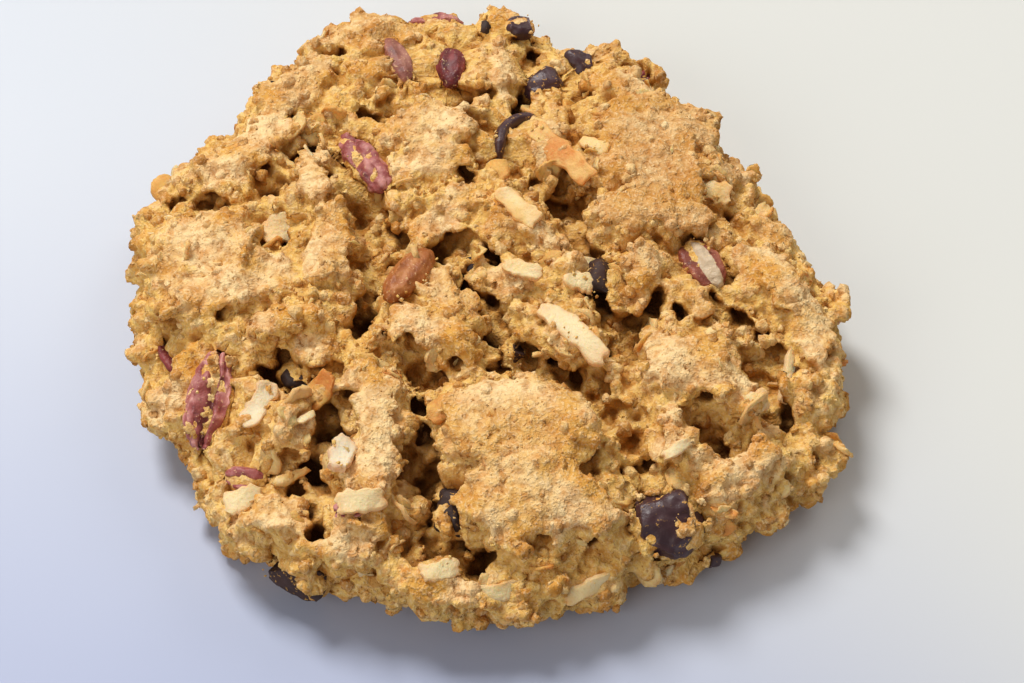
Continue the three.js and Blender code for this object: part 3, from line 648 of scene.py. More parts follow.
def domes(tree, size):
    """Height of small round grains that run into one another."""
    place = tree.node("ShaderNodeTexCoord").outputs["Object"]
    made = tree.node("ShaderNodeTexVoronoi", {"feature": "SMOOTH_F1"}, vector=place, scale=1 / (size * MM))
    reach = made.outputs["Distance"]
    return tree.math("SUBTRACT", 1.0, tree.times(reach, reach))


def between(tree, value, low, high):
    """A value from 0 at the low mark to 1 at the high mark."""
    made = tree.node("ShaderNodeMapRange", {"interpolation_type": "SMOOTHSTEP"}, value=value)
    made.inputs["From Min"].default_value = low
    made.inputs["From Max"].default_value = high
    return made.outputs["Result"]


def mixed(tree, share, first, second):
    """The first colour, turned into the second by a share from 0 to 1."""
    made = tree.node("ShaderNodeMix", {"data_type": "RGBA"})
    for spot, value in ((0, share), (6, first), (7, second)):
        tree.put(made.inputs[spot], value)
    return made.outputs[2]


def toned(tree, share, most, colour, other):
    """The colour turned towards another, by a share of the most."""
    return mixed(tree, tree.times(share, most), colour, other)


def attribute(tree, name):
    return tree.node("ShaderNodeAttribute", {"attribute_name": name}).outputs["Fac"]


def bumped(tree, shader, height, distance):
    made = tree.node("ShaderNodeBump", height=height, distance=distance * MM)
    tree.feed(shader, "Normal", made.outputs[0])


def srgb(red, green, blue):
    """A colour as seen on a screen, from 0 to 255, as linear light."""
    parts = (value / 255 for value in (red, green, blue))
    return (*(v / 12.92 if v <= 0.04045 else ((v + 0.055) / 1.055) ** 2.4 for v in parts), 1.0)


CRUST = srgb(226, 170, 82)
CRUST_LIGHT = srgb(252, 220, 162)
CRUMB = srgb(240, 198, 112)
TOASTED = srgb(206, 128, 32)
ROSY = srgb(226, 165, 100)
SUGARY = srgb(255, 232, 196)
# A darker baked colour for the crumbs' random tone, and painted shade on the dough.
DARKER_BAKE_AND_SHADE = srgb(200, 142, 74)
# A saturated brown used only as painted shade: between the bumped grains, in creases and where the sky is
# hidden.
SHADE_AMBER = srgb(172, 101, 16)
# Near-black brown, used only as painted shade deep in cracks and pits.
PAINTED_SHADE_DARK = srgb(70, 34, 6)
CHOCOLATE_DARK = srgb(62, 36, 40)
CHOCOLATE_PALE = srgb(80, 52, 56)
COCOA_DUST = srgb(150, 104, 66)
# Floor colours: the cool pale floor, with lavender painted shade in front of the cookie and warm painted
# light to its right and back.
FLOOR_PAINTED_SHADE = srgb(164, 175, 208)
FLOOR_COOL = srgb(205, 212, 222)
FLOOR_PAINTED_WARM_LIGHT = srgb(218, 220, 216)


def translucent(shader, weight, reach):
    """Light that sinks in a little, farthest in red."""
    shader.inputs["Subsurface Weight"].default_value = weight
    shader.inputs["Subsurface Scale"].default_value = reach * MM
    shader.inputs["Subsurface Radius"].default_value = (1.0, 0.65, 0.35)


def dough_finish():
    """Baked dough: golden crust on the heights, pale crumb in the breaks, toasted tips, and painted shade in
    its creases, hollows and pits.
    """
    made, tree, shader = material("baked dough")
    browned = attribute(tree, "browned")
    tips = attribute(tree, "tips")
    deep = attribute(tree, "deep")
    hollow = attribute(tree, "hollow")
    tone = attribute(tree, "tone")
    patch = noise_at(tree, 6, 3)
    mottle = noise_at(tree, 1.5, 3)
    speck = noise_at(tree, 0.6, 3, 0.6)
    dot = noise_at(tree, 0.3, 1)
    grains = domes(tree, 0.9)

    crust = mixed(tree, between(tree, patch, 0.36, 0.62), CRUST, CRUST_LIGHT)
    crust = toned(tree, between(tree, noise_at(tree, 3.2, 2), 0.5, 0.68), 0.45, crust, ROSY)
    crust = toned(tree, between(tree, mottle, 0.52, 0.7), 0.55, crust, TOASTED)
    shown = tree.plus(browned, tree.times(tree.math("SUBTRACT", mottle, 0.5), 1.3))
    colour = mixed(tree, between(tree, shown, 0.25, 0.75), CRUMB, crust)
    colour = toned(tree, between(tree, tips, 0.25, 0.9), 0.65, colour, TOASTED)
    # The tone darkens or lightens the colour: at random on the strewn crumbs, and as painted shade and
    # painted light by place on the dough.
    colour = toned(tree, between(tree, tone, 0.5, 0.95), 0.85, colour, DARKER_BAKE_AND_SHADE)
    colour = toned(tree, between(tree, tone, 0.5, 0.05), 0.6, colour, CRUST_LIGHT)
    colour = toned(tree, between(tree, speck, 0.5, 0.64), 0.32, colour, CRUST_LIGHT)
    colour = toned(tree, between(tree, speck, 0.46, 0.3), 0.4, colour, TOASTED)
    # Painted shade in the low parts between the bumped grains.
    colour = toned(tree, between(tree, grains, 0.84, 0.6), 0.38, colour, SHADE_AMBER)
    colour = toned(tree, between(tree, dot, 0.52, 0.68), 0.22, colour, SUGARY)
    # Painted shade in the creases of the skin.
    colour = toned(tree, hollow, 0.42, colour, SHADE_AMBER)
    # Painted shade: browner, then near black, where the skin misses the sky in cracks and pits.
    colour = toned(tree, between(tree, deep, 0.02, 0.35), 0.6, colour, SHADE_AMBER)
    colour = toned(tree, between(tree, deep, 0.25, 0.95), 0.9, colour, PAINTED_SHADE_DARK)
    tree.feed(shader, "Base Color", colour)
    tree.feed(shader, "Roughness", between(tree, speck, -0.8, 1.1))
    shader.inputs["Specular IOR Level"].default_value = 0.14
    coarse = tree.plus(tree.times(grains, 0.8), tree.times(speck, 0.4))
    height = tree.plus(coarse, tree.times(dot, 0.3))
    bumped(tree, shader, height, 0.5)
    return made


def chocolate_finish(name, dark, pale, smoothness):
    """Chocolate with a faint sheen, dusty brown along its edges and with crumb in patches."""
    made, tree, shader = material(name)
    bloom = noise_at(tree, 2.6, 3)
    dust = noise_at(tree, 0.5, 2, 0.7)
    edge = attribute(tree, "edge")
    colour = mixed(tree, between(tree, bloom, 0.4, 0.75), dark, pale)
    dusty = tree.times(between(tree, dust, 0.36, 0.6), between(tree, edge, 0.2, 0.8))
    speckled = tree.times(between(tree, dust, 0.6, 0.7), between(tree, bloom, 0.42, 0.6))
    colour = mixed(tree, dusty, colour, COCOA_DUST)
    colour = mixed(tree, speckled, colour, CRUST)
    tree.feed(shader, "Base Color", colour)
    rough = tree.math("ADD", dusty, speckled, clamp=True)
    tree.feed(shader, "Roughness", tree.plus(1 - smoothness, tree.times(rough, 0.4)))
    height = tree.plus(tree.times(bloom, 0.5), tree.times(dust, 0.3))
    bumped(tree, shader, height, 0.22)
    return made


def pecan_finish(name, skin, ridge, crease, flesh=srgb(222, 204, 166)):
    """Pecan skin with paler ridges along it, and pale flesh where the piece is cut."""
    made, tree, shader = material(name)
    wrinkle = attribute(tree, "wrinkle")
    cut = attribute(tree, "cut")
    blotch = noise_at(tree, 1.6, 3)
    dust = noise_at(tree, 0.4, 2, 0.7)
    shown = tree.plus(wrinkle, tree.times(tree.math("SUBTRACT", blotch, 0.5), 0.9))
    colour = mixed(tree, between(tree, shown, 0.3, 0.8), skin, ridge)
    colour = toned(tree, between(tree, shown, 0.35, 0.05), 0.8, colour, crease)
    colour = mixed(tree, between(tree, cut, 0.4, 0.6), colour, flesh)
    colour = toned(tree, between(tree, dust, 0.62, 0.72), 0.6, colour, CRUST_LIGHT)
    tree.feed(shader, "Base Color", colour)
    tree.feed(shader, "Roughness", tree.plus(0.36, tree.times(blotch, 0.3)))
    translucent(shader, 0.08, 0.8)
    bumped(tree, shader, tree.plus(blotch, tree.times(dust, 0.6)), 0.16)
    return made


def flake_finish(name, pale, warm, toasted, white):
    """Coconut or oat: pale with a fine fibre, warm in patches and toasted at the tips."""
    made, tree, shader = material(name)
    tone = attribute(tree, "tone")
    patch = noise_at(tree, 2.4, 2)
    fibre = noise_at(tree, 0.5, 3, 0.6)
    rimmed = tree.times(tree.times(attribute(tree, "rim"), patch), 1.9)
    colour = mixed(tree, between(tree, tree.plus(tone, patch), 0.7, 1.25), pale, warm)
    colour = mixed(tree, between(tree, tone, 0.1, -0.3), colour, white)
    colour = toned(tree, rimmed, 0.5, colour, toasted)
    colour = mixed(tree, between(tree, tree.plus(tone, patch), 1.3, 1.6), colour, toasted)
    colour = toned(tree, between(tree, fibre, 0.5, 0.68), 0.3, colour, warm)
    tree.feed(shader, "Base Color", colour)
    tree.feed(shader, "Roughness", tree.plus(0.5, tree.times(fibre, 0.3)))
    translucent(shader, 0.4, 1.2)
    bumped(tree, shader, fibre, 0.2)
    return made


DOUGH = dough_finish()
CHOCOLATE = chocolate_finish("dark chocolate", CHOCOLATE_DARK, CHOCOLATE_PALE, 0.58)
# A darker, rougher copy of the chocolate for the pieces down in the cracks: painted shade.
SHADED_CHOCOLATE = chocolate_finish("chocolate in the cracks", srgb(44, 24, 18), srgb(66, 38, 28), 0.3)
ROSE_PECAN = pecan_finish("rose pecan skin", srgb(158, 80, 76), srgb(212, 148, 140), srgb(92, 38, 38))
MAUVE_PECAN = pecan_finish("mauve pecan skin", srgb(150, 92, 78), srgb(186, 130, 110), srgb(96, 50, 42))
MAROON_PECAN = pecan_finish("maroon pecan skin", srgb(100, 24, 26), srgb(142, 54, 52), srgb(54, 16, 18))
TAN_PECAN = pecan_finish("tan pecan skin", srgb(164, 92, 34), srgb(198, 130, 70), srgb(122, 60, 22))
RUSSET_PECAN = pecan_finish("russet pecan skin", srgb(132, 62, 44), srgb(176, 104, 78), srgb(78, 34, 28),
                            srgb(204, 182, 150))
COCONUT = flake_finish("dried coconut", srgb(248, 224, 172), srgb(242, 198, 122), srgb(222, 142, 62),
                       srgb(236, 224, 194))
OAT = flake_finish("rolled oat", srgb(244, 212, 146), srgb(230, 178, 92), srgb(200, 124, 48),
                   srgb(244, 214, 156))


# Dough

def pieces_mesh():
    """Every chocolate and pecan solid as one mesh."""
    return joined("pieces", [merged_copy(name) for name in CHOCOLATE_NODES + PECAN_NODES])


def swollen(mesh, reach):
    set_points(mesh, points_of(mesh) + reach * normals_of(mesh))
    return mesh


def plan_noise(points, size, seed):
    """Noise that is the same all the way down, for outlines seen from above."""
    flat = points.copy()
    flat[:, 2] = 0
    return soft_noise(flat, size, seed)


def plate_rise(points):
    """Rise of the plates of crust, and how far inside a plate each point is."""
    ragged = 0.75 * plan_noise(points, 3.4, 201) + 0.5 * plan_noise(points, 1.5, 202)
    x = points[:, 0] - PLAN_SHIFT[0] + 0.8 * plan_noise(points, 6.0, 203)
    y = points[:, 1] - PLAN_SHIFT[1] + 0.8 * plan_noise(points, 6.0, 204)
    rise = np.zeros(len(points))
    cover = np.zeros(len(points))
    for px, py, length, width, turn, height in PLATES:
        c, s = math.cos(math.radians(turn)), math.sin(math.radians(turn))
        along = (x - px) * c + (y - py) * s
        across = (y - py) * c - (x - px) * s
        reach = np.maximum(np.hypot(along / (length / 2), across / (width / 2)), 0.01)
        outside = np.hypot(along, across) * (1 - 1 / reach) + ragged
        inside = 1 - ramp(outside, -PLATE_INSIDE, PLATE_OUTSIDE)
        rise = np.maximum(rise, height * inside * (1 - 0.2 * np.clip(reach, 0, 1) ** 2))
        cover = np.maximum(cover, 1 - ramp(outside, -1.3, 0.1))
    return rise, cover


def crack_depth(points):
    """Depth of the cracks and holes, how far inside a crack each point is, and the extra depth."""
    ragged = 0.36 * plan_noise(points, 2.6, 211) + 0.22 * plan_noise(points, 1.2, 212)
    depth = np.zeros(len(points))
    inside = np.zeros(len(points))
    deeper = np.zeros(len(points))
    place = points[:, :2] - PLAN_SHIFT
    for width, deep, line in CRACKS:
        nearest = np.full(len(points), 99.0)
        for a, b in zip(np.array(line[:-1], float), np.array(line[1:], float)):
            t = np.clip(((place - a) @ (b - a)) / ((b - a) @ (b - a)), 0, 1)
            nearest = np.minimum(nearest, np.linalg.norm(place - a - t[:, None] * (b - a), axis=1))
        reach = nearest / (width / 2) + ragged
        depth = np.maximum(depth, CRACK_DEEPENING * deep * (1 - ramp(reach, CRACK_FLOOR, CRACK_EDGE)))
        inside = np.maximum(inside, 1 - ramp(reach, 0.9, 1.5))
        deeper = np.maximum(deeper, GORGE_SHARE * deep * (1 - ramp(reach, 0.7, 1.3)))
    return depth, inside, deeper


def crust_cover(points, normals):
    """How smooth the crust is: high on the tops of plates, low on walls, in cracks and between."""
    _, cover = plate_rise(points)
    _, cracked, _ = crack_depth(points)
    level = ramp(normals[:, 2], 0.45, 0.85)
    worn = ramp(soft_noise(points, 5.5, 221) + 0.5 * soft_noise(points, 2.2, 222), 0.3, 1.0)
    return np.clip(cover * (1 - cracked) * level * (1 - 0.6 * worn), 0, 1)


def low_passed(values, edges, rounds):
    """Keeps the broad swell of the values and drops what is finer, without shrinking."""
    for _ in range(rounds):
        values = averaged(values, edges, 1, 0.60)
        values = averaged(values, edges, 1, -0.615)
    return values


def carved(mesh):
    """The solid's broad form with the plates and cracks cut sharp."""
    points = points_of(mesh)
    on_top = ramp(points[:, 2], CARVED_FROM, CARVED_FULL)
    depth, _, deeper = crack_depth(points)
    relief = (plate_rise(points)[0] - depth) * on_top
    broad = low_passed(np.column_stack([points, relief]), edges_of(mesh), BROAD_ROUNDS)
    set_points(mesh, broad[:, :3])
    rise = relief - broad[:, 3] - deeper * on_top
    points = broad[:, :3] + rise[:, None] * smooth_normals(mesh, 12)
    points[:, 2] = np.maximum(points[:, 2], THINNEST * on_top)
    return points


def search_tree(mesh):
    faces = [tuple(face.vertices) for face in mesh.polygons]
    return BVHTree.FromPolygons([v.co.copy() for v in mesh.vertices], faces)


def bare_faces():
    """The faces of the chocolate and pecans that the dough leaves open, for finding the nearest."""
    solid = merged_copy("dough")
    cover = search_tree(solid)
    bpy.data.meshes.remove(solid)
    places = []
    faces = []
    for node in CHOCOLATE_NODES + PECAN_NODES:
        reach, lapped = (COVER_REACH, OPEN_LAP) if node in OPEN_PIECES else (OPEN_SKY, SUNKEN_LAP)
        lapped = NO_LAP if node in (CURLED_CHOCOLATE, HOODED_CHOCOLATE, FREED_PECAN) else lapped
        low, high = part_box(node)
        mesh = merged_copy(node)
        form = bmesh.new()
        form.from_mesh(mesh)
        bmesh.ops.subdivide_edges(form, edges=form.edges, cuts=2, use_grid_fill=True)
        bmesh.ops.triangulate(form, faces=form.faces)
        form.to_mesh(mesh)
        form.free()
        start = len(places)
        places += [v.co.copy() for v in mesh.vertices]
        middles = np.array([face.center for face in mesh.polygons]) / MM
        shown = soft_noise(middles, 3.2, 351) > lapped
        for face in mesh.polygons:
            share = [(face.center[k] - low[k]) / (high[k] - low[k]) for k in range(3)]
            roofed = node == HOODED_CHOCOLATE and share[2] > ROOF_LOW and share[0] > ROOF_LEFT
            start_above = face.center + face.normal * 0.05 * MM
            open_above = cover.ray_cast(start_above, face.normal, reach * MM)[0] is None
            open_above = open_above or (node == FREED_PECAN and face.normal.z > 0.1)
            if shown[face.index] and open_above and not roofed:
                faces.append([start + i for i in face.vertices])
        bpy.data.meshes.remove(mesh)
    return BVHTree.FromPolygons(places, faces)


def cleared(mesh, bare):
    """Draws in the dough that lies over a bare face of a piece, until it is under that face."""
    points = points_of(mesh)
    normals = averaged(normals_of(mesh), edges_of(mesh), 4)
    move = np.zeros((len(points), 3))
    for i, (point, normal) in enumerate(zip(points * MM, normals)):
        inward = -Vector(normal).normalized()
        _, outward, _, reach = bare.ray_cast(Vector(point), inward, CLEARED_DEPTH * MM)
        if reach is not None and outward.dot(inward) < 0:
            move[i] = (reach / MM + PIECE_OVERLAP) * np.array(inward)
    return points + averaged(move, edges_of(mesh), 1)


def piece_distance(points, bare, most):
    """Distance from each point to the nearest bare face of a piece, up to the most that counts."""
    reach = np.full(len(points), float(most))
    for i, point in enumerate(points * MM):
        found = bare.find_nearest(point, most * MM)[3]
        if found is not None:
            reach[i] = found / MM
    return reach


def nodules(points, size, seed, crease, crease_width):
    """Round lumps of uneven height, about level on the whole, with creases between them."""
    nearest, second, owner = cell_noise(points, size, seed)
    lump = (0.5 + 0.9 * owner) * (0.8 - 2.4 * nearest ** 2)
    return lump - crease * (1 - ramp(second - nearest, 0, crease_width))


def ragged(points, normals, crust, bare):
    """Nodules of crumb with creases between them, large on broken walls and faint on crust."""
    rough = 1 - crust
    warp = soft_shift(points, 2.2, 231)
    fine_warp = soft_shift(points, 1.1, 234)
    height = rough ** 1.5 * nodules(points + 1.1 * warp, 4.6, 241, 0.5, 0.14)
    broken = 0.1 + 0.9 * rough
    height += 0.6 * broken * nodules(points + 0.8 * warp + 0.35 * fine_warp, 2.3, 251, 0.35, 0.16)
    height += 1.3 * broken * (np.abs(soft_noise(points + 0.5 * fine_warp, 3.1, 245)) - 0.3)
    height += 0.2 * crust * soft_noise(points, 3.0, 259)
    wall = 1 - ramp(normals[:, 2], 0.3, 0.8)
    layers = nodules(points * (1, 1, 1.3) + 1.2 * warp, 6.0, 271, 0.8, 0.24)
    height += 1.1 * wall * (layers - 0.5)
    height = np.where(height > 0, height * ramp(piece_distance(points, bare, 2.2), 0.2, 2.2), height)
    awake = ramp(points[:, 2], 0.1, 1.6)
    slide = soft_shift(points, 1.7, 261)
    return points + (height * awake)[:, None] * normals + (0.5 * rough * awake)[:, None] * slide


def sink_under_pieces(mesh, bare):
    """Draws the dough's skin in under the bare faces, so that it laps against each piece."""
    points = points_of(mesh)
    move = np.zeros((len(points), 3))
    for i, point in enumerate(points * MM):
        place, outward, _, reach = bare.find_nearest(point, (PIECE_REACH + 0.4) * MM)
        if place is None:
            continue
        reach = reach / MM
        if (Vector(point) - place).dot(outward) < 0:
            reach = -reach
        hold = 1 - ramp(np.float64(reach), PIECE_REACH * 0.6, PIECE_REACH + 0.4)
        move[i] = -hold * max(reach + PIECE_OVERLAP, 0) * np.array(outward)
    return points + averaged(move, edges_of(mesh), 1)


def crumbled(mesh):
    """Adds the finest relief: crumbs, pits and hairline cracks, least on smooth crust."""
    points = points_of(mesh)
    normals = smooth_normals(mesh, 2)
    rough = 1 - averaged(crust_cover(points, normals), edges_of(mesh), 3)
    fine = 0.22 * nodules(points, 1.15, 31, 0.3, 0.2) + 0.55 * (np.abs(soft_noise(points, 1.7, 43)) - 0.25)
    height = fine * (0.5 + 0.5 * rough) + 0.09 * soft_noise(points, 0.7, 41)
    pit, _, owner = cell_noise(points, 2.3, 51)
    height -= 0.45 * (1 - ramp(pit, 0.07, 0.22)) * (owner < 0.2)
    crack = np.abs(soft_noise(points, 5.0, 61) + 0.35 * soft_noise(points, 1.6, 62))
    height -= 0.35 * (1 - ramp(crack, 0.0, 0.08)) * (1 - rough)
    awake = ramp(points[:, 2], 0.05, 1.2)
    return points + (height * awake)[:, None] * normals


def underside_relief(points):
    """Shallow pits in the flat underside, cut upwards so that the base stays the lowest face."""
    low = points[:, 2] < 0.35
    blister, _, owner = cell_noise(points, 3.6, 81)
    lift = 0.55 * (1 - ramp(blister, 0.12, 0.42)) * (owner < 0.55)
    lift += 0.2 * ramp(soft_noise(points, 1.3, 83), 0.1, 0.8)
    points[low, 2] += lift[low]
    return points


def colour_marks(mesh):
    """Stores how browned and how exposed each point of the dough is, and its painted shade and painted
    light: shade where it is deep or creased, darker or paler patches by place.
    """
    points = points_of(mesh)
    edges = edges_of(mesh)
    normals = normals_of(mesh)
    near = ((points - averaged(points, edges, 10)) * normals).sum(axis=1)
    wide = ((points - averaged(points, edges, 160, 0.9)) * normals).sum(axis=1)
    smooth = smooth_normals(mesh, 10)
    crust = averaged(crust_cover(points, smooth), edges, 3)
    facing_up = ramp(smooth[:, 2], 0.0, 0.8)
    browned = 0.02 + 0.75 * crust + 0.22 * facing_up + 0.35 * np.clip(wide, -1.5, 0.8)
    rim = 1 - ramp(points[:, 2], 1.0, 5.0)
    tips = ramp(near, 0.05, 0.3) * 0.7 + 0.7 * rim
    # Painted shade for the colour: the share of sky each point misses.
    deep = ramp(shaded_share(mesh), 0.24, 0.76)
    under = points[:, 2] < 0.8
    browned[under] = 1
    tips[under] = 0.85
    store(mesh, "browned", np.clip(averaged(browned, edges, 2), 0, 1))
    store(mesh, "tips", np.clip(tips, 0, 1))
    store(mesh, "deep", deep)
    # Painted shade in the creases, where the skin bends inwards.
    store(mesh, "hollow", ramp(-near, 0.02, 0.3))
    # The dough's tone holds painted shade and painted light by place.
    store(mesh, "tone", 0.5 + painted_tone(points))


def painted_tone(points):
    """How much darker each point of the dough is painted, seen from above: painted shade where darker,
    painted light where paler.
    """
    place = points[:, :2] - PLAN_SHIFT
    return sum(more * np.exp(-((place - (x, y)) ** 2).sum(axis=1) / reach ** 2)
               for x, y, reach, more in PAINTED_SHADE_AND_LIGHT)


def shaded_share(mesh):
    """How much of the open sky each point of the skin misses within a few millimetres."""
    points = points_of(mesh)
    normals = averaged(normals_of(mesh), edges_of(mesh), 1)
    tree = BVHTree.FromPolygons([tuple(p) for p in points], [tuple(p.vertices) for p in mesh.polygons])
    turns = np.arange(SKY_RAYS)
    tilt = np.sqrt((turns + 0.5) / SKY_RAYS)
    swing = turns * math.pi * (3 - math.sqrt(5))
    fan = np.stack([tilt * np.cos(swing), tilt * np.sin(swing), np.sqrt(1 - tilt ** 2)], axis=1)
    blocked = np.zeros(len(points))
    starts = points + 0.1 * normals
    for i, (start, normal) in enumerate(zip(starts, normals)):
        facing = Vector(normal).to_track_quat("Z", "Y").to_matrix()
        place = Vector(start)
        hits = 0.0
        for ray in (np.array(facing) @ fan.T).T:
            reach = tree.ray_cast(place, ray, SKY_REACH)[3]
            if reach is not None:
                hits += 1 - 0.6 * reach / SKY_REACH
        blocked[i] = hits / SKY_RAYS
    return averaged(blocked, edges_of(mesh), 1)


def dough_piece(bare):
    """The whole dough: its broad form, then its nodules, then its crumb."""
    solid = joined("dough_whole", [merged_copy("dough"), swollen(pieces_mesh(), POCKET_FILL)])
    form = remeshed(solid, FORM_STEP, "dough_form")
    largest_body(form)
    set_points(form, carved(form))
    set_points(form, cleared(form, bare))
    body = remeshed(form, BODY_STEP, "dough_body")
    edges = edges_of(body)
    points = averaged(points_of(body), edges, 2)
    set_points(body, points)
    normals = smooth_normals(body, 6)
    crust = averaged(crust_cover(points, normals), edges, 3)
    set_points(body, ragged(points, normals, crust, bare))
    mesh = remeshed(body, SKIN_STEP, "cookie_dough")
    largest_body(mesh)
    set_points(mesh, averaged(points_of(mesh), edges_of(mesh), 1))
    set_points(mesh, crumbled(mesh))
    set_points(mesh, sink_under_pieces(mesh, bare))
    set_points(mesh, within(underside_relief(points_of(mesh)), cad_box))
    mesh = thinned(mesh, DOUGH_TRIANGLES)
    shade_smooth(mesh)
    colour_marks(mesh)
    dress(mesh, DOUGH)
    return add_object("cookie_dough", mesh)


# Chocolate and pecan pieces

def solid_copy(node):
    """A node's solid with small even faces and its edges softened."""
    mesh = remeshed(merged_copy(node), PIECE_STEP, node + "_piece")
    set_points(mesh, averaged(points_of(mesh), edges_of(mesh), 4))
    return mesh


def chocolate_piece(node):
    """A chunk of chocolate with a few nearly flat broken sides."""
    mesh = solid_copy(node)
    edges = edges_of(mesh)
    points = points_of(mesh)
    number = int(node.split("_")[1])
    if node != CURLED_CHOCOLATE:
        middle = points.mean(axis=0)
        for side in range(BROKEN_SIDES):
            spot = np.array([number, side, 0])
            direction = np.array([hashed(spot, seed) - 0.5 for seed in (301, 302, 303)])
            direction /= np.linalg.norm(direction)
            reach = (points - middle) @ direction
            limit = (0.7 + 0.24 * hashed(spot, 304)) * reach.max()
            points = points - np.maximum(reach - limit, 0)[:, None] * direction
        points = averaged(points, edges, 2)
    set_points(mesh, points)
    normals = normals_of(mesh)
    bulge = ((points - averaged(points, edges, 14)) * normals).sum(axis=1)
    store(mesh, "edge", ramp(bulge, 0.04, 0.3))
    dents, _, _ = cell_noise(points, 2.8, 101)
    dented = 0.2 if node == CURLED_CHOCOLATE else 1.0
    height = -0.3 * ramp(dents, 0.45, 0.9) - 0.12 * (1 + soft_noise(points, 0.9, 103))
    height = dented * (height - 0.25 * (1 + soft_noise(points, 2.0, 105)))
    set_points(mesh, points + height[:, None] * normals)
    # Open pieces get the plain chocolate; the rest get the copy darkened as painted shade.
    dress(mesh, CHOCOLATE if node in OPEN_PIECES else SHADED_CHOCOLATE)
    return finished(node + "_piece", mesh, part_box(node))


def long_axis(points):
    """Middle and directions of a piece: its length, width and thickness."""
    middle = points.mean(axis=0)
    _, _, directions = np.linalg.svd(points - middle, full_matrices=False)
    return middle, directions


# Each pecan piece's skin, how deep its groove is, how rough it is, and the band of cut flesh
# across it, as shares of half its width.
UNCUT = (0, 0)
PLAIN_PECAN = (ROSE_PECAN, 0.5, 0.24, UNCUT)
PECAN_LOOKS = {
    "pecan_1": (ROSE_PECAN, 0, 0.42, UNCUT),
    "pecan_2": (MAROON_PECAN, 0.1, 0.12, UNCUT),
    "pecan_3": (TAN_PECAN, 0, 0.04, UNCUT),
    "pecan_4": (ROSE_PECAN, 1.1, 0.34, UNCUT),
    "pecan_5": (MAROON_PECAN, 0.2, 0.12, UNCUT),
    "pecan_7": (RUSSET_PECAN, 0.3, 0.24, (-0.5, 0.15)),
    "pecan_8": (MAUVE_PECAN, 0, 0.12, UNCUT),
    "pecan_9": (TAN_PECAN, 0, 0.12, UNCUT),
    "pecan_12": (MAROON_PECAN, 0.2, 0.12, UNCUT),
}


def pecan_piece(node):
    """A piece of pecan: wrinkles along and across its skin, and a groove where it has lobes."""
    finish, groove, rough, flesh = PECAN_LOOKS.get(node, PLAIN_PECAN)
    mesh = solid_copy(node)
    points = points_of(mesh)
    normals = normals_of(mesh)
    middle, (length, width, _) = long_axis(points)
    away = points - middle
    along = away @ length
    across = away @ width
    sway = 0.4 * soft_noise(points, 3.0, 111)
    strand = np.stack([along * 0.3, across * 1.4 + sway, away[:, 2] * 1.4], axis=1)
    ripple = np.stack([along * 1.3 + sway, across * 0.5, away[:, 2] * 0.5], axis=1)
    wrinkle = 0.55 * soft_noise(strand, 1.0, 113) + 0.25 * soft_noise(strand * 2.1, 1.0, 114)
    wrinkle += 0.35 * soft_noise(ripple, 1.0, 115)
    cleft = np.exp(-((across - 0.3 + 0.5 * sway) / 0.42) ** 2)
    crumbly = cell_noise(points, 1.1, 117)[0] ** 2
    crumbly += 2 * cell_noise(points + 0.5 * sway[:, None], 2.4, 119)[0] ** 2
    height = 0.2 * (wrinkle - 1) - groove * cleft - rough * crumbly
    set_points(mesh, points + height[:, None] * normals)
    store(mesh, "wrinkle", 0.5 + 0.5 * wrinkle - 0.6 * min(groove, 1) * cleft)
    share = across / across.max()
    shown = (share > flesh[0]) & (share < flesh[1])
    store(mesh, "cut", averaged(shown.astype(float), edges_of(mesh), 2))
    dress(mesh, finish)
    return finished(node + "_piece", mesh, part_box(node))


# Coconut flakes that can be told apart: place from above, length, width, thickness, turn, lean,
# tone and how far it stands up.
PLACED_FLAKES = [
    (9.6, 16.2, 10.2, 2.9, 0.7, -50, 16, 0.95, 1.1),
    (13.2, 17.6, 4.2, 1.8, 0.6, -38, 10, 0.6, 0.4),
    (4.2, 7.2, 6.4, 2.6, 0.8, -48, 18, 0.5, 0.3),
    (11, -1.6, 3.6, 2.2, 0.9, -16, 12, 0.2, 0.5),
    (4.5, -1.4, 4.8, 2, 0.9, -14, 14, 0.3, 0.4),
    (10.2, -9.4, 10.4, 3, 0.9, -46, 16, 0, 0.6),
    (12, 2.4, 5.4, 2.2, 0.8, 10, 16, 0.3, 0.3),
    (35, -11.4, 8.6, 1.5, 0.7, 78, 30, 0.3, 0.5),
    (-24.8, -17.6, 6, 2.6, 0.8, 62, 20, -0.15, 1.1),
    (-15, -25.6, 4.4, 2.9, 1.2, 70, 14, -0.3, 0.7),
    (-23.8, 7.6, 4.4, 3.8, 0.9, 20, 8, 0.3, 0.3),
    (21.4, -25.2, 3.6, 1.4, 0.6, 34, 20, 0, 0.6),
    (30.4, -18, 3.2, 2.6, 0.8, 20, 26, 0.2, 0.3),
    (-4.4, -37.6, 4.2, 2.4, 0.7, 15, 26, 0.2, 0.3),
    (27.2, 12.6, 4.4, 2.8, 0.6, -20, 14, 0.5, 0.3),
    (-26, -28.4, 4.6, 2.8, 0.9, 10, 22, 0.05, 0.4),
    (-13, -31.2, 5.4, 2.6, 1, 12, 24, 0.2, 0.4),
    (-19.4, -20.6, 2.2, 0.9, 0.6, 30, 10, 0, 0.9),
    (2, -39, 5.6, 2.2, 0.7, 16, 40, 0.3, 0.3),
    (12, -38, 6.2, 2, 0.7, 24, 44, 0.4, 0.3),
]


def top_at(surface, x, y):
    """Place and direction of the topmost surface at a spot seen from above."""
    start = Vector(((x + PLAN_SHIFT[0]) * MM, (y + PLAN_SHIFT[1]) * MM, WELL_ABOVE * MM))
    return surface.ray_cast(start, Vector((0, 0, -1)))[:2]


def resting_place(surface, x, y, reach):
    """Mean place and direction of the dough's skin round a spot seen from above."""
    places = []
    facings = []
    for i, j in ((0, 0), (1, 0), (-1, 0), (0, 1), (0, -1)):
        place, outward = top_at(surface, x + i * reach, y + j * reach)
        places.append(place)
        facings.append(outward)
    return sum(places, Vector()) / len(places), sum(facings, Vector())


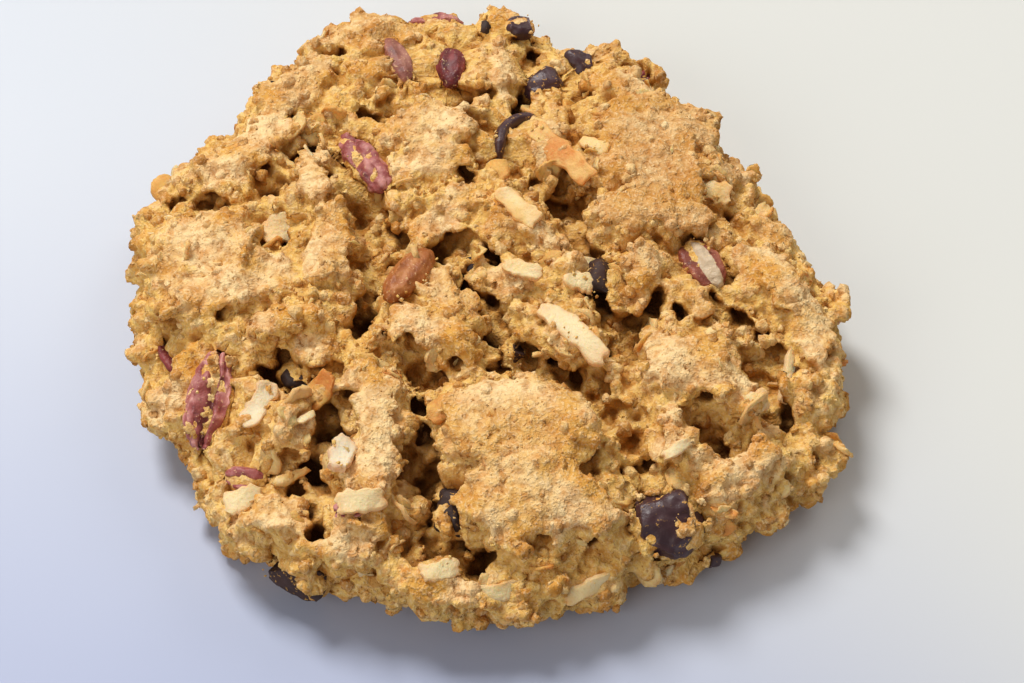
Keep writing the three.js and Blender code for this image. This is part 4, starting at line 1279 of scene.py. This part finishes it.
def placed_flakes(surface):
    """The flakes that can be told apart, each half sunk in the dough's skin."""
    made = []
    for i, (x, y, length, width, thickness, turn, lean, tone, lift) in enumerate(PLACED_FLAKES):
        place, outward = resting_place(surface, x, y, 0.3 * width)
        facing = (outward + Vector((0, 0, 5))).normalized()
        mesh = flake_mesh("flake", length, width, thickness, cup=0.03 * (-1) ** i, twist=0.3, fray=0.3,
                          seed=i, along=12, across=5)
        level = Vector((0, 0, 1)).rotation_difference(facing).to_matrix().to_4x4()
        spin = Euler((math.radians(lean), 0, math.radians(turn))).to_matrix().to_4x4()
        mesh.transform(Matrix.Translation(place + facing * lift * MM) @ level @ spin)
        points = points_of(mesh)
        uneven = soft_shift(points, 1.6, 321) + 0.4 * soft_shift(points, 0.7, 331)
        set_points(mesh, within(points + uneven * (0.16, 0.16, 0.2), cad_box))
        store(mesh, "tone", np.full(len(mesh.vertices), tone))
        made.append(mesh)
    whole = joined("coconut_flakes", made)
    dress(whole, COCONUT)
    piece = add_object("coconut_flakes", whole)
    soft = piece.modifiers.new("soft edges", "SUBSURF")
    soft.levels = soft.render_levels = 1
    return piece


# Larger crumbs that cling to the pieces: place from above, size.
PLACED_CRUMBS = [
    (22.2, -33, 2.4), (22.9, -32.2, 1.3), (17.4, -28.9, 1.4), (18.8, -28.2, 1.7), (20.6, -27.9, 1.5),
    (22.4, -28.2, 1.8), (24.2, -29.6, 1.5), (24.9, -31.4, 1.8), (25, -33.2, 1.5), (16.4, -31.4, 1.2),
    (9.2, 33.4, 3), (8.2, 34.4, 1.6), (-30.5, -11.4, 1.3), (-30.2, -12.8, 1), (-30.4, -14.4, 1.2),
    (-30.4, -16.2, 0.9), (-30.9, -18, 1.1), (-27.6, -16.4, 1.6), (-32.6, -19.6, 1.6), (-28.4, -11.2, 1.6),
    (-11.4, 19.4, 2.8), (-10.6, 17.2, 2.6), (-10.4, 15.2, 2.2), (-12.8, 21.4, 2.4), (-6.2, -3.4, 1.6),
    (-28.4, -8.6, 1.8), (26.6, 4.6, 1.8),
]


def placed_crumbs(surface):
    """The larger crumbs, each resting on the topmost surface under its place."""
    made = []
    for i, (x, y, size) in enumerate(PLACED_CRUMBS):
        place = top_at(surface, x, y)[0] - Vector((0, 0, 0.2 * size * MM))
        spin = Euler((0.3 * i, 0.2 * i, i)).to_matrix().to_4x4()
        mesh = round_mesh("crumb", 3, size)
        mesh.transform(Matrix.Translation(place) @ spin @ Matrix.Diagonal((1.1, 0.85, 0.7, 1)))
        points = points_of(mesh)
        lumpy = 0.2 * size * (nodules(points, 0.5 * size, 361, 0.3, 0.2) - 0.5)
        lumpy += 0.1 * soft_noise(points, 0.5, 362)
        set_points(mesh, points + lumpy[:, None] * normals_of(mesh))
        store(mesh, "browned", np.full(len(points), 0.55))
        store(mesh, "tone", np.full(len(points), hashed(np.array([i, 1, 1]), 363)))
        made.append(mesh)
    whole = joined("clinging_lumps", made)
    dress(whole, DOUGH)
    return whole


def strewing_masks(mesh, bare):
    """Marks where crumbs, oats and shreds may lie: in the light, clear of the pieces and the base."""
    points = points_of(mesh)
    deep = read(mesh.attributes["deep"].data, "value", 1, np.float32)[:, 0]
    lit = 1 - ramp(deep, 0.1, 0.4)
    normals = normals_of(mesh)
    away = averaged(piece_distance(points, bare, 2.0), edges_of(mesh), 1)
    crust = averaged(crust_cover(points, normals), edges_of(mesh), 3)
    wall = 1 - ramp(averaged(normals, edges_of(mesh), 12)[:, 2], 0.5, 0.9)
    flaky = (away > 1.1) * ramp(points[:, 2], 1.6, 3.0) * (1 - 0.8 * crust) * (0.25 + 0.75 * wall)
    store(mesh, "flaky", flaky * lit)
    store(mesh, "crumbly", lit * (away > 1.6) * (1 - 0.9 * crust) * ramp(points[:, 2], 0.8, 1.6))
    store(mesh, "sandy", lit * (away > 0.6) * (0.45 + 0.55 * crust) * ramp(points[:, 2], 0.8, 1.6))


def clinging_mask(mesh):
    """Marks a few patches of a piece, where crumbs cling to it."""
    points = points_of(mesh)
    store(mesh, "patches", ramp(soft_noise(points, 2.6, 341) + 0.4 * soft_noise(points, 1.1, 342), 0.2, 0.9))


def strewn_pieces(dough, laid, bare):
    """Crumbs, oats and coconut shreds over the dough, and crumbs on whatever is laid in it."""
    skin = dough.data.copy()
    strewing_masks(skin, bare)
    clinging_mask(laid)
    speck, grain, lump, oat, shred = shapes = [add_object("shape", mesh) for mesh in (
        speck_mesh(), round_mesh("grain", 1, 1), round_mesh("lump", 2, 1),
        flake_mesh("oat", 4.6, 3.4, 0.5, cup=0.04, fray=0.1, blunt=3, seed=3, along=8, across=5),
        flake_mesh("shred", 4.2, 1.1, 0.42, cup=0.06, twist=0.3, fray=0.35, seed=4, along=6, across=2))]
    # Name, surface, shape, finish, mask, density, seed, sizes, sunk, tilt, unevenness and its grain.
    rows = [
        ("crumb_lumps", skin, lump, DOUGH, "crumbly", 28, 21, (0.7, 1.8), 0.2, 0.0, 1.1, 0.5),
        ("crumb_grains", skin, speck, DOUGH, "sandy", 140, 24, (0.35, 0.85), 0.18, 0.0, 0.3, 0.4),
        ("clinging_crumbs", laid, grain, DOUGH, "patches", 70, 25, (0.2, 0.7), 0.05, 0.0, 0.45, 0.4),
        ("rolled_oats", skin, oat, OAT, "flaky", 2.6, 22, (0.5, 1.0), 0.9, 0.9, 1.1, 1.4),
        ("coconut_shreds", skin, shred, COCONUT, "flaky", 1.2, 23, (0.5, 1.1), 0.25, 0.5, 1.0, 1.2),
    ]
    made = {name: strew(name, surface.copy(), *look) for name, surface, *look in rows}
    for shape in shapes:
        remove_object(shape)
    return made


# Camera, floor and light

def add_camera():
    data = bpy.data.cameras.new("camera")
    data.lens = LENS
    data.sensor_width = SENSOR
    data.clip_start = 0.01
    camera = add_object("camera", data)
    look = Vector((0, math.cos(VIEW_DOWN), -math.sin(VIEW_DOWN)))
    aim = Vector(AIM) + Vector((*PLAN_SHIFT, 0))
    camera.location = aim * MM - look * VIEW_DISTANCE * MM
    camera.rotation_euler = look.to_track_quat("-Z", "Y").to_euler()
    bpy.context.scene.camera = camera


def add_floor():
    form = bmesh.new()
    bmesh.ops.create_grid(form, x_segments=1, y_segments=1, size=FLOOR_REACH)
    mesh = mesh_of(form, "floor")
    made, tree, shader = material("pale floor")
    place = tree.node("ShaderNodeTexCoord").outputs["Object"]
    split = tree.node("ShaderNodeSeparateXYZ", vector=place)
    reach = tree.node("ShaderNodeVectorMath", {"operation": "LENGTH"}, vector=place).outputs["Value"]
    # The floor is pale, with lavender painted shade in front of and near the cookie, and warm painted light
    # to the right and back.
    haze = tree.times(noise_at(tree, 160, 1), 0.06)
    front = between(tree, tree.plus(split.outputs["Y"], haze), 0.07, -0.04)
    painted_shade = tree.times(front, between(tree, reach, 0.2, 0.07))
    across = tree.plus(split.outputs["X"], tree.times(split.outputs["Y"], 0.8))
    right = between(tree, tree.plus(across, haze), 0.0, 0.09)
    colour = mixed(tree, painted_shade, FLOOR_COOL, FLOOR_PAINTED_SHADE)
    tree.feed(shader, "Base Color", mixed(tree, right, colour, FLOOR_PAINTED_WARM_LIGHT))
    shader.inputs["Roughness"].default_value = 0.45
    shader.inputs["Specular IOR Level"].default_value = 0.3
    mesh.materials.append(made)
    add_object("floor", mesh)


# Name, place and width in metres, power and colour.
LIGHTS = [
    ("window", (-0.42, 0.62, 1.0), 0.48, 13.1, (1.0, 0.98, 0.96)),
    ("warm_side", (0.6, 0.7, 0.75), 0.6, 2.4, (1.0, 0.94, 0.84)),
    ("front_fill", (-0.75, -0.8, 0.75), 1.0, 5.4, (1.0, 0.96, 0.91)),
]


def add_light(name, place, size, power, colour):
    data = bpy.data.lights.new(name, "AREA")
    data.shape = "DISK"
    data.size = size
    data.energy = power
    data.color = colour
    light = add_object(name, data)
    light.location = place
    light.rotation_euler = (-Vector(place)).to_track_quat("-Z", "Y").to_euler()


def add_world():
    world = bpy.data.worlds.new("soft studio")
    bpy.context.scene.world = world
    world.use_nodes = True
    back = world.node_tree.nodes["Background"]
    back.inputs["Color"].default_value = (1.0, 0.96, 0.95, 1)
    back.inputs["Strength"].default_value = 0.25


# The making

add_camera()
add_floor()
add_world()
for light in LIGHTS:
    add_light(*light)
bpy.context.scene.view_settings.view_transform = "Standard"

pieces = pieces_mesh()
bare = bare_faces()
dough = dough_piece(bare)
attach(dough, "root")
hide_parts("dough")

for nodes, make, slot in ((CHOCOLATE_NODES, chocolate_piece, "chocolate"),
                          (PECAN_NODES, pecan_piece, "pecan")):
    for node in nodes:
        piece = make(node)
        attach(piece, "root")
        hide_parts(node)

flakes = placed_flakes(search_tree(dough.data))
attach(flakes, "root")

scatter = {"clinging_lumps": placed_crumbs(search_tree(joined("top", [pieces, dough.data])))}
scatter.update(strewn_pieces(dough, joined("laid_in_dough", [pieces, flakes.data]), bare))
for name, mesh in scatter.items():
    piece = finished(name, mesh, cad_box)
    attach(piece, "root")
